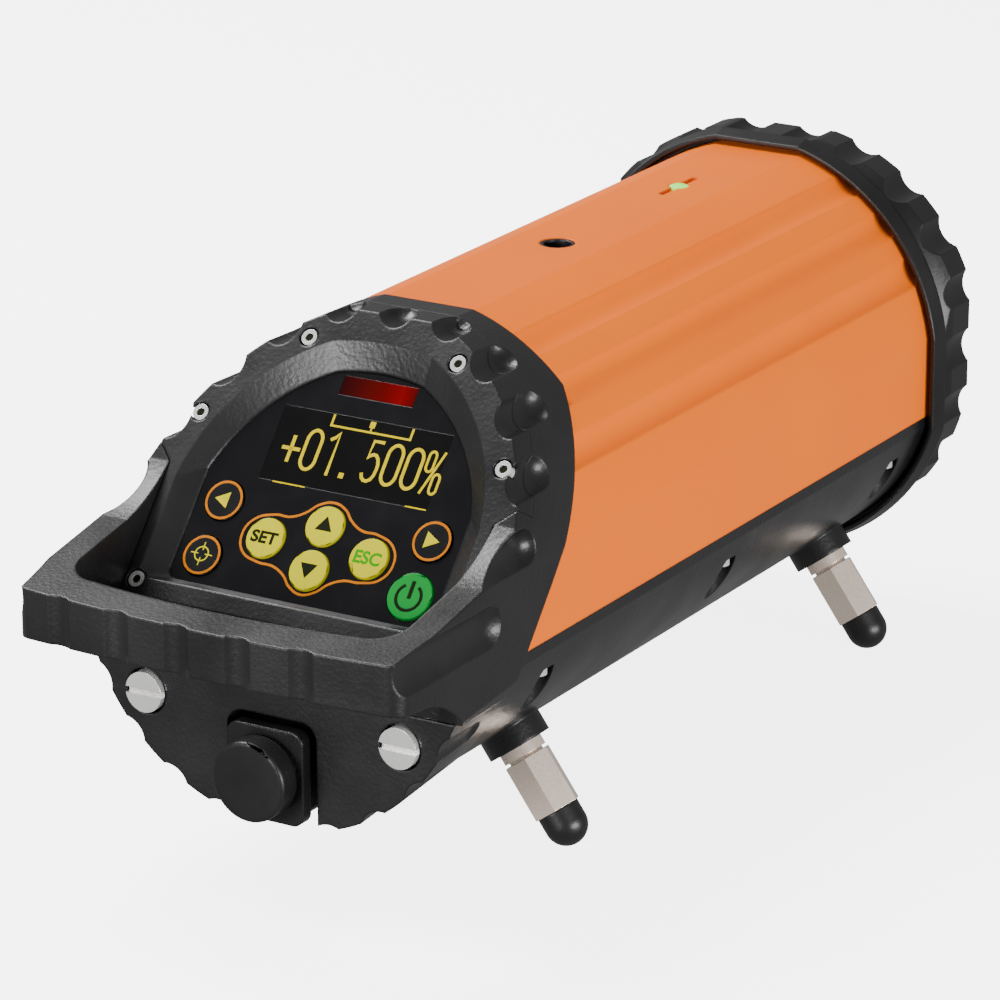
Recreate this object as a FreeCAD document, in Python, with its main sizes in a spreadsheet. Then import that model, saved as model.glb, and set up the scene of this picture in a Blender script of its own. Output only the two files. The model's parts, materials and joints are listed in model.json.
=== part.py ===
import FreeCAD, Part
import Sketcher
import math
import os
from FreeCAD import Placement, Rotation, Vector

# Pipe laser on four screw-in legs.
# X is to the right seen from the panel, Y runs along the tube towards the beam end, Z is up.
# The origin lies on the ground, below the middle of the overall length.

SIZES = {
    # whole object
    "total_length": 329.0,
    "fit_gap": 0.05,
    "seam_gap": 0.3,
    # tube section, seen along the tube
    "body_radius": 62.5,
    "top_rise": 0.3,
    "body_top_half": 14.5,
    "side_flat": 2.5,
    "body_side_top": 11.0,
    "body_side_low": 14.2,
    "shoulder_rise": 1.8,
    "shoulder_fall": 0.052,
    "flute_first": 29.3,
    "flute_pitch": 15.3,
    "flute_half": 4.3,
    "flute_depth": 1.8,
    "shell_wall": 4.0,
    "shell_setback": 14.5,
    "rail_depth": 12.5,
    "rail_height": 9.0,
    "tray_wall": 3.5,
    "tray_rail_depth": 19.5,
    # panel plane
    "panel_setback": 75.0,
    "panel_rise": 34.7,
    "panel_tilt": 40.0,
    "seat_depth": 7.0,
    "seat_wall": 4.0,
    "membrane_depth": 4.5,
    "membrane_thick": 2.0,
    "bezel_low": 56.0,
    "bezel_shoulder": 16.0,
    # guard with handle
    "guard_top_length": 42.0,
    "guard_corner_height": 46.0,
    "guard_proud": 0.4,
    "guard_flare": 3.6,
    "arm_proud": 1.5,
    "arm_thick": 8.7,
    "guard_floor": 23.8,
    "guard_wall": 3.2,
    "bar_thick": 10.0,
    "bar_top": 2.6,
    "bar_low": 11.0,
    "bar_corner": 5.0,
    "bar_bulge": 2.4,
    "ramp_length": 44.0,
    "ramp_rise": 8.7,
    "bar_flute_first": -46.5,
    "bar_flute_pitch": 19.7,
    "bar_flute_radius": 7.0,
    "bar_flute_depth": 1.3,
    "pocket_radius": 6.0,
    "pocket_depth": 2.4,
    "pocket_pitch": 15.0,
    "pocket_margin": 8.0,
    "side_pocket_radius": 9.0,
    # battery cover
    "cover_setback": 40.4,
    "cover_depth": 25.7,
    "cover_proud": 0.4,
    "cover_cheek": 0.7,
    "cover_chin": 3.1,
    "cover_notch_pitch": 15.0,
    "cover_notch_radius": 7.0,
    "cover_notch_depth": 2.2,
    "notch_half": 14.5,
    "notch_top": 33.0,
    "notch_corner": 5.0,
    "captive_x": 41.3,
    "captive_drop": 33.7,
    "captive_head_radius": 5.9,
    "captive_head_height": 5.0,
    "captive_proud": 1.6,
    "captive_shank": 2.5,
    "counterbore_gap": 0.8,
    # charging socket
    "flange_half": 12.2,
    "flange_top": 35.0,
    "flange_low": 62.3,
    "flange_corner": 3.5,
    "flange_thick": 4.0,
    "flange_proud": 3.6,
    "cap_drop": 48.3,
    "cap_radius": 11.6,
    "cap_thick": 7.3,
    "cap_front": 12.4,
    "jack_radius": 8.5,
    # far end
    "bumper_length": 20.8,
    "bumper_top_rise": 3.5,
    "bumper_top_half": 17.0,
    "bumper_side_rise": 4.4,
    "bumper_hump": 5.0,
    "bumper_side_top": 25.0,
    "bumper_drop": 2.8,
    "bumper_bore": 47.0,
    "lip_length": 5.6,
    "lip_front": 2.9,
    "lip_back": 4.2,
    "lip_recess": 1.6,
    "lip_recess_depth": 5.0,
    "hump_start": 3.5,
    "hump_ramp": 4.0,
    "scallop_count": 23,
    "scallop_radius": 7.4,
    "scallop_depth": 2.2,
    "end_plate_inset": 3.0,
    "end_plate_thick": 3.5,
    "spigot_inset": 5.7,
    "spigot_length": 10.0,
    "hub_radius": 38.0,
    "aperture_radius": 24.0,
    "window_radius": 28.0,
    "window_thick": 3.0,
    "bumper_screw_inset": 9.5,
    "bumper_screw_count": 6,
    # legs
    "pipe_radius": 100.0,
    "leg_angle": 36.0,
    "leg_setback": 24.0,
    "rear_leg_inset": 47.0,
    "boss_radius": 9.5,
    "boss_proud": 5.8,
    "boss_root": 7.0,
    "insert_radius": 5.5,
    "insert_setback": 1.5,
    "stud_radius": 4.0,
    "collar_radius": 6.5,
    "collar_length": 3.0,
    "groove_radius": 5.2,
    "groove_length": 0.9,
    "hex_flats": 13.0,
    "hex_end": 89.0,
    "foot_radius": 6.25,
    "foot_pin_radius": 3.5,
    "foot_pin_length": 6.0,
    "leg_travel": 10.0,
    # tray screws
    "tray_screw_inset": 6.0,
    "tray_screw_setback": 10.0,
    "tray_screw_end": 36.0,
    "tray_pocket_radius": 4.5,
    "tray_seat": 24.0,
    "tray_head_radius": 2.8,
    "tray_head_height": 2.6,
    "tray_shank": 2.0,
    # top of the shell
    "top_insert_setback": 112.5,
    "top_bore_radius": 4.2,
    "top_insert_radius": 5.2,
    "lamp_inset": 69.4,
    "lamp_radius": 2.9,
    "lamp_dome": 0.7,
    "lamp_groove_length": 20.0,
    "lamp_groove_width": 2.2,
    "lamp_groove_depth": 0.8,
    # bezel screws
    "bezel_head_radius": 2.4,
    "bezel_head_height": 2.6,
    "bezel_sink_radius": 2.9,
    "bezel_sink_depth": 2.9,
    "bezel_shank": 1.25,
    # keys and windows on the membrane plane
    "key_radius": 5.9,
    "key_gap": 0.3,
    "key_flange_radius": 6.3,
    "key_proud": 0.6,
    "key_travel": 0.5,
    "power_key_radius": 6.8,
    "display_width": 54.5,
    "display_height": 22.5,
    "display_x": 1.2,
    "display_rise": -3.0,
    "receiver_width": 24.0,
    "receiver_height": 5.8,
    "receiver_x": 0.8,
    "receiver_rise": 16.9,
    # power
    "cell_radius": 9.2,
    "battery_gap": 19.9,
    "cell_x": 24.0,
    "cell_drop": 36.0,
    "case_wall": 1.0,
    # optics
    "gimbal_inset": 69.5,
    "beam_tube_radius": 13.0,
    "beam_tube_wall": 1.5,
    "beam_tube_back": 52.0,
    "beam_tube_front": 38.0,
    "fork_inner": 18.5,
    "fork_thick": 3.5,
    "fork_half": 8.0,
    "trunnion_radius": 3.0,
    "grade_lever": 40.0,
    "line_lever": 35.0,
    "drive_x": 22.0,
    "chassis_gap": 0.5,
    "chassis_plate": 3.0,
    "well_half": 37.0,
    "well_depth": 45.5,
    "well_wall": 3.0,
}

# Sizes that follow from the ones above
LINKED = {
    "body_half_width": "body_radius - side_flat",
    "body_top": "body_radius + top_rise",
    "shoulder_radius": "body_radius + shoulder_rise",
    "shell_end": "total_length / 2 - shell_setback",
    "rail_inner": "body_radius - rail_depth",
    "tray_rail_inner": "body_radius - tray_rail_depth",
    "guard_half": "body_half_width + arm_proud",
    "arm_inner": "guard_half - arm_thick",
    "bezel_half": "arm_inner - seam_gap",
    "bumper_top": "body_top + bumper_top_rise",
    "bumper_half_width": "body_half_width + bumper_side_rise",
    "bumper_shoulder": "shoulder_radius + bumper_hump",
    "bumper_low_radius": "body_radius + bumper_drop",
    "end_plate_radius": "body_radius - end_plate_inset",
    "spigot_radius": "body_radius - spigot_inset",
    "bumper_screw_circle": "body_radius - bumper_screw_inset",
    "boss_start": "body_radius - boss_root",
    "boss_end": "body_radius + boss_proud",
    "insert_start": "boss_start + insert_setback",
    "tray_screw_x": "body_half_width - tray_screw_inset",
    "tray_screw_pitch": "(total_length - panel_setback - tray_screw_setback - tray_screw_end) / 2",
    "chassis_half": "rail_inner - chassis_gap",
}

doc = FreeCAD.newDocument("pipe_laser")
sheet = doc.addObject("Spreadsheet::Sheet", "Sizes")
contents = {name: str(value) for name, value in SIZES.items()}
contents.update((name, "=" + formula) for name, formula in LINKED.items())
for row, (name, content) in enumerate(contents.items(), start=1):
    sheet.set("A%d" % row, name)
    sheet.set("B%d" % row, content)
    sheet.setAlias("B%d" % row, name)
doc.recompute()


class Size:
    """A length or angle together with the sheet expression that gives it."""

    def __init__(self, value, text=None):
        self.value = float(value)
        self.text = repr(float(value)) if text is None else text

    def joined(self, other, sign, value, swapped=False):
        left, right = (other, self) if swapped else (self, other)
        return Size(value, "(%s %s %s)" % (left.text, sign, right.text))

    def __add__(self, other):
        other = as_size(other)
        return self.joined(other, "+", self.value + other.value)

    __radd__ = __add__

    def __sub__(self, other):
        other = as_size(other)
        return self.joined(other, "-", self.value - other.value)

    def __rsub__(self, other):
        return as_size(other) - self

    def __mul__(self, other):
        other = as_size(other)
        return self.joined(other, "*", self.value * other.value)

    __rmul__ = __mul__

    def __truediv__(self, other):
        other = as_size(other)
        return self.joined(other, "/", self.value / other.value)

    def __rtruediv__(self, other):
        return as_size(other) / self

    def __neg__(self):
        return 0 - self

    def __lt__(self, other):
        return self.value < as_size(other).value


def as_size(value):
    return value if isinstance(value, Size) else Size(value)


def cell(name):
    return Size(sheet.get(name), "Sizes." + name)


def sine(angle):
    angle = as_size(angle)
    return Size(math.sin(math.radians(angle.value)), "sin(%s)" % angle.text)


def cosine(angle):
    angle = as_size(angle)
    return Size(math.cos(math.radians(angle.value)), "cos(%s)" % angle.text)


def tangent(angle):
    return sine(angle) / cosine(angle)


def root(number):
    return Size(math.sqrt(number.value), "sqrt(%s)" % number.text)


def leg_of(hypotenuse, side):
    return root(hypotenuse * hypotenuse - side * side)


# Derived places

tilt = cell("panel_tilt")
axis_height = (cell("pipe_radius") - cell("foot_radius")) * cosine(cell("leg_angle")) + cell("foot_radius")
nose = cell("total_length") / -2
tail = cell("total_length") / 2
panel_y = nose + cell("panel_setback")
panel_rise = cell("panel_rise")
cover_front = panel_y - cell("cover_setback")
cover_back = cover_front + cell("cover_depth")
guard_back = panel_y + cell("guard_top_length")
shell_end = cell("shell_end")
bumper_front = tail - cell("bumper_length")
leg_front_y = panel_y + cell("leg_setback")
leg_rear_y = tail - cell("rear_leg_inset")
gimbal_y = tail - cell("gimbal_inset")
well_from = gimbal_y - cell("beam_tube_back") - 9
FAR = 90


def guard_boundary(z):
    """Y of the sloping rear edge of the guard at a height above the tube axis."""
    return guard_back - (cell("guard_corner_height") - z) * tangent(tilt)


def panel_line(z, depth):
    """Y of the panel plane, sunk by depth, at a height above the tube axis."""
    return panel_y + (z - panel_rise) * tangent(tilt) + depth / cosine(tilt)


# Building helpers

used = {}


def fresh(name):
    used[name] = used.get(name, 0) + 1
    return name if used[name] == 1 else "%s_%d" % (name, used[name])


def bind(target, prop, size):
    size = as_size(size)
    target.setExpression(prop, size.text)


def origin_plane(body, role):
    for feature in body.Origin.OriginFeatures:
        if feature.Role == role:
            return feature
    raise RuntimeError("no plane " + role)


def new_body(name):
    return doc.addObject("PartDesign::Body", fresh(name))


def new_sketch(body, role, shift=None):
    sketch = body.newObject("Sketcher::SketchObject", fresh(body.Name + "_sketch"))
    sketch.AttachmentSupport = [(origin_plane(body, role), "")]
    sketch.MapMode = "FlatFace"
    if shift is not None:
        bind(sketch, "AttachmentOffset.Base.z", shift)
    return sketch


def pin_point(sketch, geometry, position, x, y):
    """Holds one point of a sketch at coordinates taken from the sheet."""
    for kind, size in (("DistanceX", as_size(x)), ("DistanceY", as_size(y))):
        if abs(size.value) < 1e-9:
            line = -2 if kind == "DistanceX" else -1
            sketch.addConstraint(Sketcher.Constraint("PointOnObject", geometry, position, line))
        else:
            index = sketch.addConstraint(
                Sketcher.Constraint(kind, -1, 1, geometry, position, size.value))
            sketch.setExpression("Constraints[%d]" % index, size.text)


def draw(sketch, start, steps):
    """Closed outline: a step is a point, or a through point and an end point of an arc."""
    def flat(point):
        return Vector(as_size(point[0]).value, as_size(point[1]).value, 0)

    here = start
    pieces = []
    ends = []
    for step in steps + [start]:
        arc = isinstance(step[0], tuple)
        there = step[1] if arc else step
        if flat(here).distanceToPoint(flat(there)) < 1e-6:
            continue
        if arc:
            curve = Part.Arc(flat(here), flat(step[0]), flat(there))
            geometry = sketch.addGeometry(curve, False)
            hint = sketch.addGeometry(Part.Point(flat(step[0])), True)
            pin_point(sketch, hint, 1, step[0][0], step[0][1])
            sketch.addConstraint(Sketcher.Constraint("PointOnObject", hint, 1, geometry))
        else:
            geometry = sketch.addGeometry(Part.LineSegment(flat(here), flat(there)), False)
        forward = sketch.getPoint(geometry, 1).distanceToPoint(flat(here)) < 1e-6
        pieces.append(geometry)
        ends.append((1, 2) if forward else (2, 1))
        pin_point(sketch, geometry, ends[-1][1], there[0], there[1])
        here = there
    for index, geometry in enumerate(pieces):
        after = (index + 1) % len(pieces)
        sketch.addConstraint(Sketcher.Constraint(
            "Coincident", geometry, ends[index][1], pieces[after], ends[after][0]))


def draw_circle(sketch, x, y, radius):
    radius = as_size(radius)
    centre = Vector(as_size(x).value, as_size(y).value, 0)
    geometry = sketch.addGeometry(Part.Circle(centre, Vector(0, 0, 1), radius.value), False)
    pin_point(sketch, geometry, 3, x, y)
    index = sketch.addConstraint(Sketcher.Constraint("Radius", geometry, radius.value))
    sketch.setExpression("Constraints[%d]" % index, radius.text)


def pad(body, sketch, length, reverse=False, both=False):
    feature = body.newObject("PartDesign::Pad", fresh(body.Name + "_pad"))
    feature.Profile = sketch
    feature.SideType = "Symmetric" if both else "One side"
    feature.Reversed = reverse
    bind(feature, "Length", length)
    body.Tip = feature
    return feature


def prism_y(name, start, steps, y_from, y_to):
    """Outline in X and height above the tube axis, run along the tube."""
    body = new_body(name)
    sketch = new_sketch(body, "XZ_Plane", -as_size(y_from))
    draw(sketch, start, steps)
    pad(body, sketch, as_size(y_to) - y_from, reverse=True)
    bind(body, "Placement.Base.z", axis_height)
    return body


def loft_y(name, outlines, places):
    """Ruled skin between two outlines at two places along the tube."""
    body = new_body(name)
    sketches = []
    for (start, steps), place in zip(outlines, places):
        sketch = new_sketch(body, "XZ_Plane", -as_size(place))
        draw(sketch, start, steps)
        sketches.append(sketch)
    feature = body.newObject("PartDesign::AdditiveLoft", fresh(body.Name + "_loft"))
    feature.Profile = sketches[0]
    feature.Sections = [sketches[1]]
    feature.Ruled = True
    body.Tip = feature
    bind(body, "Placement.Base.z", axis_height)
    return body


def prism_x(name, start, steps, width):
    """Outline in Y and height above the tube axis, run evenly to both sides."""
    body = new_body(name)
    sketch = new_sketch(body, "YZ_Plane")
    draw(sketch, start, steps)
    pad(body, sketch, width, both=True)
    bind(body, "Placement.Base.z", axis_height)
    return body


def prism_z(name, start, steps, z_from, z_to):
    """Plan outline run upwards between two heights above the tube axis."""
    body = new_body(name)
    sketch = new_sketch(body, "XY_Plane", as_size(z_from))
    draw(sketch, start, steps)
    pad(body, sketch, as_size(z_to) - z_from)
    bind(body, "Placement.Base.z", axis_height)
    return body


def to_panel(target, x=0, rise=0, depth=0):
    """Places an object in the frame of the panel: its Z points out of the panel."""
    turn = Rotation(Vector(1, 0, 0), 90 - tilt.value)
    target.Placement = Placement(Vector(0, 0, 0), turn)
    bind(target, "Placement.Rotation.Angle", 90 - tilt)
    rise = as_size(rise)
    depth = as_size(depth)
    bind(target, "Placement.Base.x", x)
    bind(target, "Placement.Base.y", panel_y + rise * sine(tilt) + depth * cosine(tilt))
    bind(target, "Placement.Base.z",
         axis_height + panel_rise + rise * cosine(tilt) - depth * sine(tilt))
    return target


def prism_panel(name, start, steps, depth_low, depth_high):
    """Outline on the panel, filled between two depths below the screw plane."""
    body = new_body(name)
    sketch = new_sketch(body, "XY_Plane", -as_size(depth_low))
    draw(sketch, start, steps)
    pad(body, sketch, as_size(depth_low) - depth_high)
    return to_panel(body)


def loft_panel(name, outlines, depths):
    body = new_body(name)
    sketches = []
    for (start, steps), depth in zip(outlines, depths):
        sketch = new_sketch(body, "XY_Plane", -as_size(depth))
        draw(sketch, start, steps)
        sketches.append(sketch)
    feature = body.newObject("PartDesign::AdditiveLoft", fresh(body.Name + "_loft"))
    feature.Profile = sketches[0]
    feature.Sections = [sketches[1]]
    feature.Ruled = True
    body.Tip = feature
    return to_panel(body)


TURNS = {
    "z": (Vector(0, 0, 1), 0),
    "-z": (Vector(1, 0, 0), 180),
    "y": (Vector(1, 0, 0), -90),
    "-y": (Vector(1, 0, 0), 90),
    "x": (Vector(0, 1, 0), 90),
    "-x": (Vector(0, 1, 0), -90),
}


def put(target, x, y, z, way="z"):
    """Places an object by X, Y and height above the tube axis."""
    turn = TURNS[way]
    target.Placement = Placement(Vector(0, 0, 0), Rotation(turn[0], turn[1]))
    bind(target, "Placement.Base.x", x)
    bind(target, "Placement.Base.y", y)
    bind(target, "Placement.Base.z", axis_height + z)
    return target


def raw_cylinder(name, radius, length):
    target = doc.addObject("Part::Cylinder", fresh(name))
    bind(target, "Radius", radius)
    bind(target, "Height", length)
    return target


def cylinder(name, radius, length, x, y, z, way="z"):
    return put(raw_cylinder(name, radius, length), x, y, z, way)


def panel_cylinder(name, radius, x, rise, depth_low, depth_high):
    return to_panel(raw_cylinder(name, radius, as_size(depth_low) - depth_high), x, rise, depth_low)


def ball(name, radius, x, y, z):
    target = doc.addObject("Part::Sphere", fresh(name))
    bind(target, "Radius", radius)
    return put(target, x, y, z)


def box(name, x_from, x_to, y_from, y_to, z_from, z_to):
    target = doc.addObject("Part::Box", fresh(name))
    bind(target, "Length", as_size(x_to) - x_from)
    bind(target, "Width", as_size(y_to) - y_from)
    bind(target, "Height", as_size(z_to) - z_from)
    return put(target, x_from, y_from, z_from)


def fuse(name, parts):
    if len(parts) == 1:
        return parts[0]
    target = doc.addObject("Part::MultiFuse", fresh(name))
    target.Shapes = parts
    return target


def common(name, parts):
    target = doc.addObject("Part::MultiCommon", fresh(name))
    target.Shapes = parts
    return target


def cut(name, base, tools):
    target = doc.addObject("Part::Cut", fresh(name))
    target.Base = base
    target.Tool = fuse(name + "_tool", tools) if isinstance(tools, list) else tools
    return target


def gather(name, parts):
    target = doc.addObject("Part::Compound", fresh(name))
    target.Links = parts
    return target


pieces = {}


def piece(label, target):
    target.Label = label
    pieces[label] = target
    return target


def both_sides(values):
    return [sign * value for value in values for sign in (1, -1)]


# Tube section

def crest(angle):
    """Radius of the shoulder at an angle from straight up."""
    return cell("shoulder_radius") - cell("shoulder_fall") * (as_size(angle) - 15)


def polar(radius, angle):
    return (radius * sine(angle), radius * cosine(angle))


def mirrored(point):
    return (-as_size(point[0]), point[1])


def side_reach(radius, z):
    return leg_of(as_size(radius), as_size(z))


def smooth_outline(grow):
    """Tube section without flutes, grown outwards by grow."""
    top = cell("body_top") + grow
    half = cell("body_half_width") + grow
    side_low = -side_reach(cell("body_radius") + grow, half)
    top_corner = (cell("body_top_half"), top)
    shoulder = polar(crest(40) + grow, 40)
    side_corner = (half, cell("body_side_top"))
    start = mirrored(top_corner)
    steps = [
        top_corner,
        (shoulder, side_corner),
        (half, side_low),
        ((0, -(cell("body_radius") + grow)), (-half, side_low)),
        mirrored(side_corner),
        (mirrored(shoulder), start),
    ]
    return start, steps


def fluted_right_side():
    """Steps from the right end of the flat top down to the side."""
    steps = []
    begin = as_size(13)
    for number in range(3):
        middle = cell("flute_first") + cell("flute_pitch") * number
        end = middle - cell("flute_half")
        steps.append((polar(crest((begin + end) / 2), (begin + end) / 2), polar(crest(end), end)))
        begin = middle + cell("flute_half")
        steps.append((polar(crest(middle) - cell("flute_depth"), middle), polar(crest(begin), begin)))
    corner = (cell("body_half_width"), cell("body_side_top"))
    steps.append((polar(crest((begin + 79.6) / 2) - 0.1, (begin + 79.6) / 2), corner))
    return steps


def reversed_steps(start, steps):
    """The same path walked from its other end, with X mirrored."""
    points = [start]
    through = []
    for step in steps:
        if isinstance(step[0], tuple):
            through.append(step[0])
            points.append(step[1])
        else:
            through.append(None)
            points.append(step)
    result = []
    for index in range(len(through) - 1, -1, -1):
        end = mirrored(points[index])
        result.append(end if through[index] is None else (mirrored(through[index]), end))
    return result


# Shell

lower_edge = -cell("body_side_low")
inner = cell("body_radius") - cell("shell_wall")
inner_half = cell("body_half_width") - cell("shell_wall") * 0.625
inner_side_z = leg_of(inner, inner_half)
top_right = (cell("body_top_half"), cell("body_top"))
right_side = fluted_right_side()
rail_top = lower_edge + cell("rail_height")
shell_steps = right_side + [
    (cell("body_half_width"), lower_edge),
    (cell("rail_inner"), lower_edge),
    (cell("rail_inner"), rail_top),
    (inner_half, rail_top),
    (inner_half, inner_side_z),
    ((0, inner), (-inner_half, inner_side_z)),
    (-inner_half, rail_top),
    (-cell("rail_inner"), rail_top),
    (-cell("rail_inner"), lower_edge),
    (-cell("body_half_width"), lower_edge),
    mirrored((cell("body_half_width"), cell("body_side_top"))),
] + reversed_steps(top_right, right_side)
shell_raw = prism_y("shell_raw", top_right, shell_steps, cover_front, shell_end)


def ahead_of_guard_edge(name, gap):
    """Everything in front of the guard's rear edge, moved back by gap."""
    high = cell("guard_corner_height")
    low = as_size(-FAR)
    return prism_x(name, (nose - 20, FAR), [
        (guard_back + gap, FAR),
        (guard_back + gap, high),
        (guard_boundary(low) + gap, low),
        (nose - 20, low),
    ], 4 * FAR)


spigot_bore = cell("spigot_radius") + cell("fit_gap")
spigot_from = shell_end - cell("spigot_length") - 1
top_insert_y = panel_y + cell("top_insert_setback")
lamp_y = tail - cell("lamp_inset")
groove_half = cell("lamp_groove_width") / 2
groove_z = cell("body_top") - cell("lamp_groove_depth")
groove_from = lamp_y - cell("lamp_groove_length") / 2
groove_to = lamp_y + cell("lamp_groove_length") / 2
tray_screw_y = [panel_y + cell("tray_screw_setback") + cell("tray_screw_pitch") * k for k in range(3)]
shell_tools = [
    ahead_of_guard_edge("shell_front_cut", 0),
    cylinder("shell_spigot_bore", spigot_bore, cell("spigot_length") + 6, 0, spigot_from, 0, "y"),
    cylinder("shell_insert_hole", cell("top_insert_radius") + cell("fit_gap"), 20,
             0, top_insert_y, cell("body_top") - 10),
    cylinder("shell_lamp_hole", cell("lamp_radius") + cell("fit_gap"), 20, 0, lamp_y, cell("body_top") - 10),
    box("lamp_groove", -groove_half, groove_half, groove_from, groove_to, groove_z, groove_z + 5),
    cylinder("groove_end_near", groove_half, 5, 0, groove_from, groove_z),
    cylinder("groove_end_far", groove_half, 5, 0, groove_to, groove_z),
]
for place in tray_screw_y:
    for x in both_sides([cell("tray_screw_x")]):
        shell_tools.append(cylinder("rail_thread", cell("tray_shank"), cell("rail_height") - 1,
                                    x, place, lower_edge - 0.5))
piece("upper_shell", cut("shell", shell_raw, shell_tools))

# Top insert and level lamp

insert_low = inner - 2
insert_body = fuse("top_insert_body", [
    cylinder("top_insert_flange", cell("top_insert_radius") + 2, 1.6, 0, top_insert_y, insert_low - 0.5),
    cylinder("top_insert_barrel", cell("top_insert_radius"), cell("body_top") - insert_low - 0.2,
             0, top_insert_y, insert_low),
])
piece("top_insert", cut("top_insert", insert_body, [
    cylinder("top_thread", cell("top_bore_radius"), 20, 0, top_insert_y, insert_low - 5)]))
lamp_dome_radius = (cell("lamp_radius") * cell("lamp_radius") + cell("lamp_dome") * cell("lamp_dome")) \
    / (cell("lamp_dome") * 2)
lamp_cap = common("lamp_cap", [
    ball("lamp_ball", lamp_dome_radius, 0, lamp_y, cell("body_top") + cell("lamp_dome") - lamp_dome_radius),
    cylinder("lamp_rim", cell("lamp_radius"), cell("lamp_dome") + 1, 0, lamp_y, cell("body_top") - 0.001),
])
piece("level_lamp", fuse("level_lamp", [
    cylinder("lamp_stem", cell("lamp_radius"), cell("body_top") - inner + 2, 0, lamp_y, inner - 2),
    lamp_cap,
]))

# Tray

tray_out = cell("body_radius")
tray_in = cell("body_radius") - cell("tray_wall")
tray_side = cell("body_half_width")
tray_side_low = -leg_of(tray_out, tray_side)
rail_in = cell("tray_rail_inner")
rail_low = -leg_of(tray_in, rail_in)
tray_start = (tray_side, lower_edge)
tray_raw = prism_y("tray_raw", tray_start, [
    (tray_side, tray_side_low),
    ((0, -tray_out), (-tray_side, tray_side_low)),
    (-tray_side, lower_edge),
    (-rail_in, lower_edge),
    (-rail_in, rail_low),
    ((0, -tray_in), (rail_in, rail_low)),
    (rail_in, lower_edge),
], cover_back - 10, shell_end)
bulkhead_thick = as_size(5)
bulkhead_top = -cell("guard_floor") - cell("seam_gap")
bulkhead = common("bulkhead", [
    cylinder("bulkhead_disc", tray_in + 1, bulkhead_thick, 0, cover_back, 0, "y"),
    box("bulkhead_zone", -FAR, FAR, cover_back - 1, cover_back + 20, -FAR, bulkhead_top),
])


def leg_cylinder(name, side, y, radius, r_from, r_to):
    """Cylinder along a leg, between two distances from the tube axis."""
    angle = 180 - cell("leg_angle")
    target = raw_cylinder(name, radius, as_size(r_to) - r_from)
    target.Placement = Placement(Vector(0, 0, 0), Rotation(Vector(0, side, 0), angle.value))
    bind(target, "Placement.Rotation.Angle", angle)
    bind(target, "Placement.Base.x", as_size(r_from) * sine(cell("leg_angle")) * side)
    bind(target, "Placement.Base.y", y)
    bind(target, "Placement.Base.z", axis_height - as_size(r_from) * cosine(cell("leg_angle")))
    return target


LEGS = {
    "front_left": (-1, leg_front_y),
    "front_right": (1, leg_front_y),
    "rear_left": (-1, leg_rear_y),
    "rear_right": (1, leg_rear_y),
}
tray_parts = [tray_raw, bulkhead]
tray_tools = [
    cylinder("tray_spigot_bore", spigot_bore, cell("spigot_length") + 6, 0, spigot_from, 0, "y"),
]
for side, y in LEGS.values():
    tray_parts.append(leg_cylinder("leg_boss", side, y, cell("boss_radius"),
                                   cell("boss_start"), cell("boss_end")))
    tray_tools.append(leg_cylinder("leg_bore", side, y, cell("insert_radius"),
                                   cell("boss_start") - 2, cell("boss_end") + 1))
for place in tray_screw_y:
    for x in both_sides([cell("tray_screw_x")]):
        tray_tools.append(cylinder("tray_pocket", cell("tray_pocket_radius"), 40,
                                   x, place, -cell("tray_seat"), "-z"))
        tray_tools.append(cylinder("tray_screw_hole", cell("tray_shank") + 0.1, 20,
                                   x, place, -cell("tray_seat") - 1))
for x in both_sides([cell("cell_x")]):
    tray_tools.append(cylinder("cell_mouth", cell("cell_radius") + 0.6, bulkhead_thick + 4,
                               x, cover_back - 2, -cell("cell_drop"), "y"))
for x in both_sides([cell("captive_x")]):
    tray_tools.append(cylinder("captive_thread", cell("captive_shank") + cell("fit_gap"), 7,
                               x, cover_back - 1, -cell("captive_drop"), "y"))
tray_tools.append(prism_x("tray_front_cut", (nose, 0), [
    (guard_boundary(as_size(0)), 0),
    (guard_boundary(-cell("guard_floor")), -cell("guard_floor")),
    (cover_back, -cell("guard_floor")),
    (cover_back, -FAR),
    (nose, -FAR),
], 4 * FAR))
piece("lower_tray", cut("tray", fuse("tray_solid", tray_parts), tray_tools))

# Tray screws

tray_screws = []
for place in tray_screw_y:
    for x in both_sides([cell("tray_screw_x")]):
        head_low = -cell("tray_seat") - cell("tray_head_height")
        screw = fuse("tray_screw", [
            cylinder("tray_screw_head", cell("tray_head_radius"), cell("tray_head_height"), x, place, head_low),
            cylinder("tray_screw_shank", cell("tray_shank"), cell("tray_head_height") + 15, x, place, head_low),
        ])
        tray_screws.append(cut("tray_screw_cut", screw, [
            box("tray_screw_slot", x - 0.5, x + 0.5, place - 5, place + 5, head_low - 1, head_low + 1)]))
piece("tray_screws", gather("tray_screws", tray_screws))

# Guard and its pockets

guard_front_flare = cell("guard_proud") + cell("guard_flare")
guard_outer = loft_y("guard_outer", [smooth_outline(guard_front_flare), smooth_outline(cell("guard_proud"))],
                     [nose - 2, guard_back])
high = cell("guard_corner_height")
ramp_top = cell("bar_top") + cell("ramp_rise")
rim_meet = panel_rise - cell("bezel_shoulder") * cosine(tilt)
ramp_end = nose + cell("ramp_length")
floor_z = -cell("guard_floor")
guard_side = prism_x("guard_side", (guard_back, FAR), [
    (guard_back, high),
    (guard_boundary(floor_z), floor_z),
    (cover_front, floor_z),
    ((cover_front - 9.5, floor_z + 8.3), (cover_front - 19.5, -cell("bar_low") - 1.3)),
    (nose, -cell("bar_low")),
    (nose, cell("bar_top")),
    (ramp_end, ramp_top),
    ((ramp_end + 10.4, ramp_top + 4.2), (panel_line(rim_meet, 0), rim_meet)),
    (panel_line(as_size(FAR), 0), FAR),
], 4 * FAR)
half = cell("guard_half")
corner = cell("bar_corner")
bulge = cell("bar_bulge")
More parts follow.
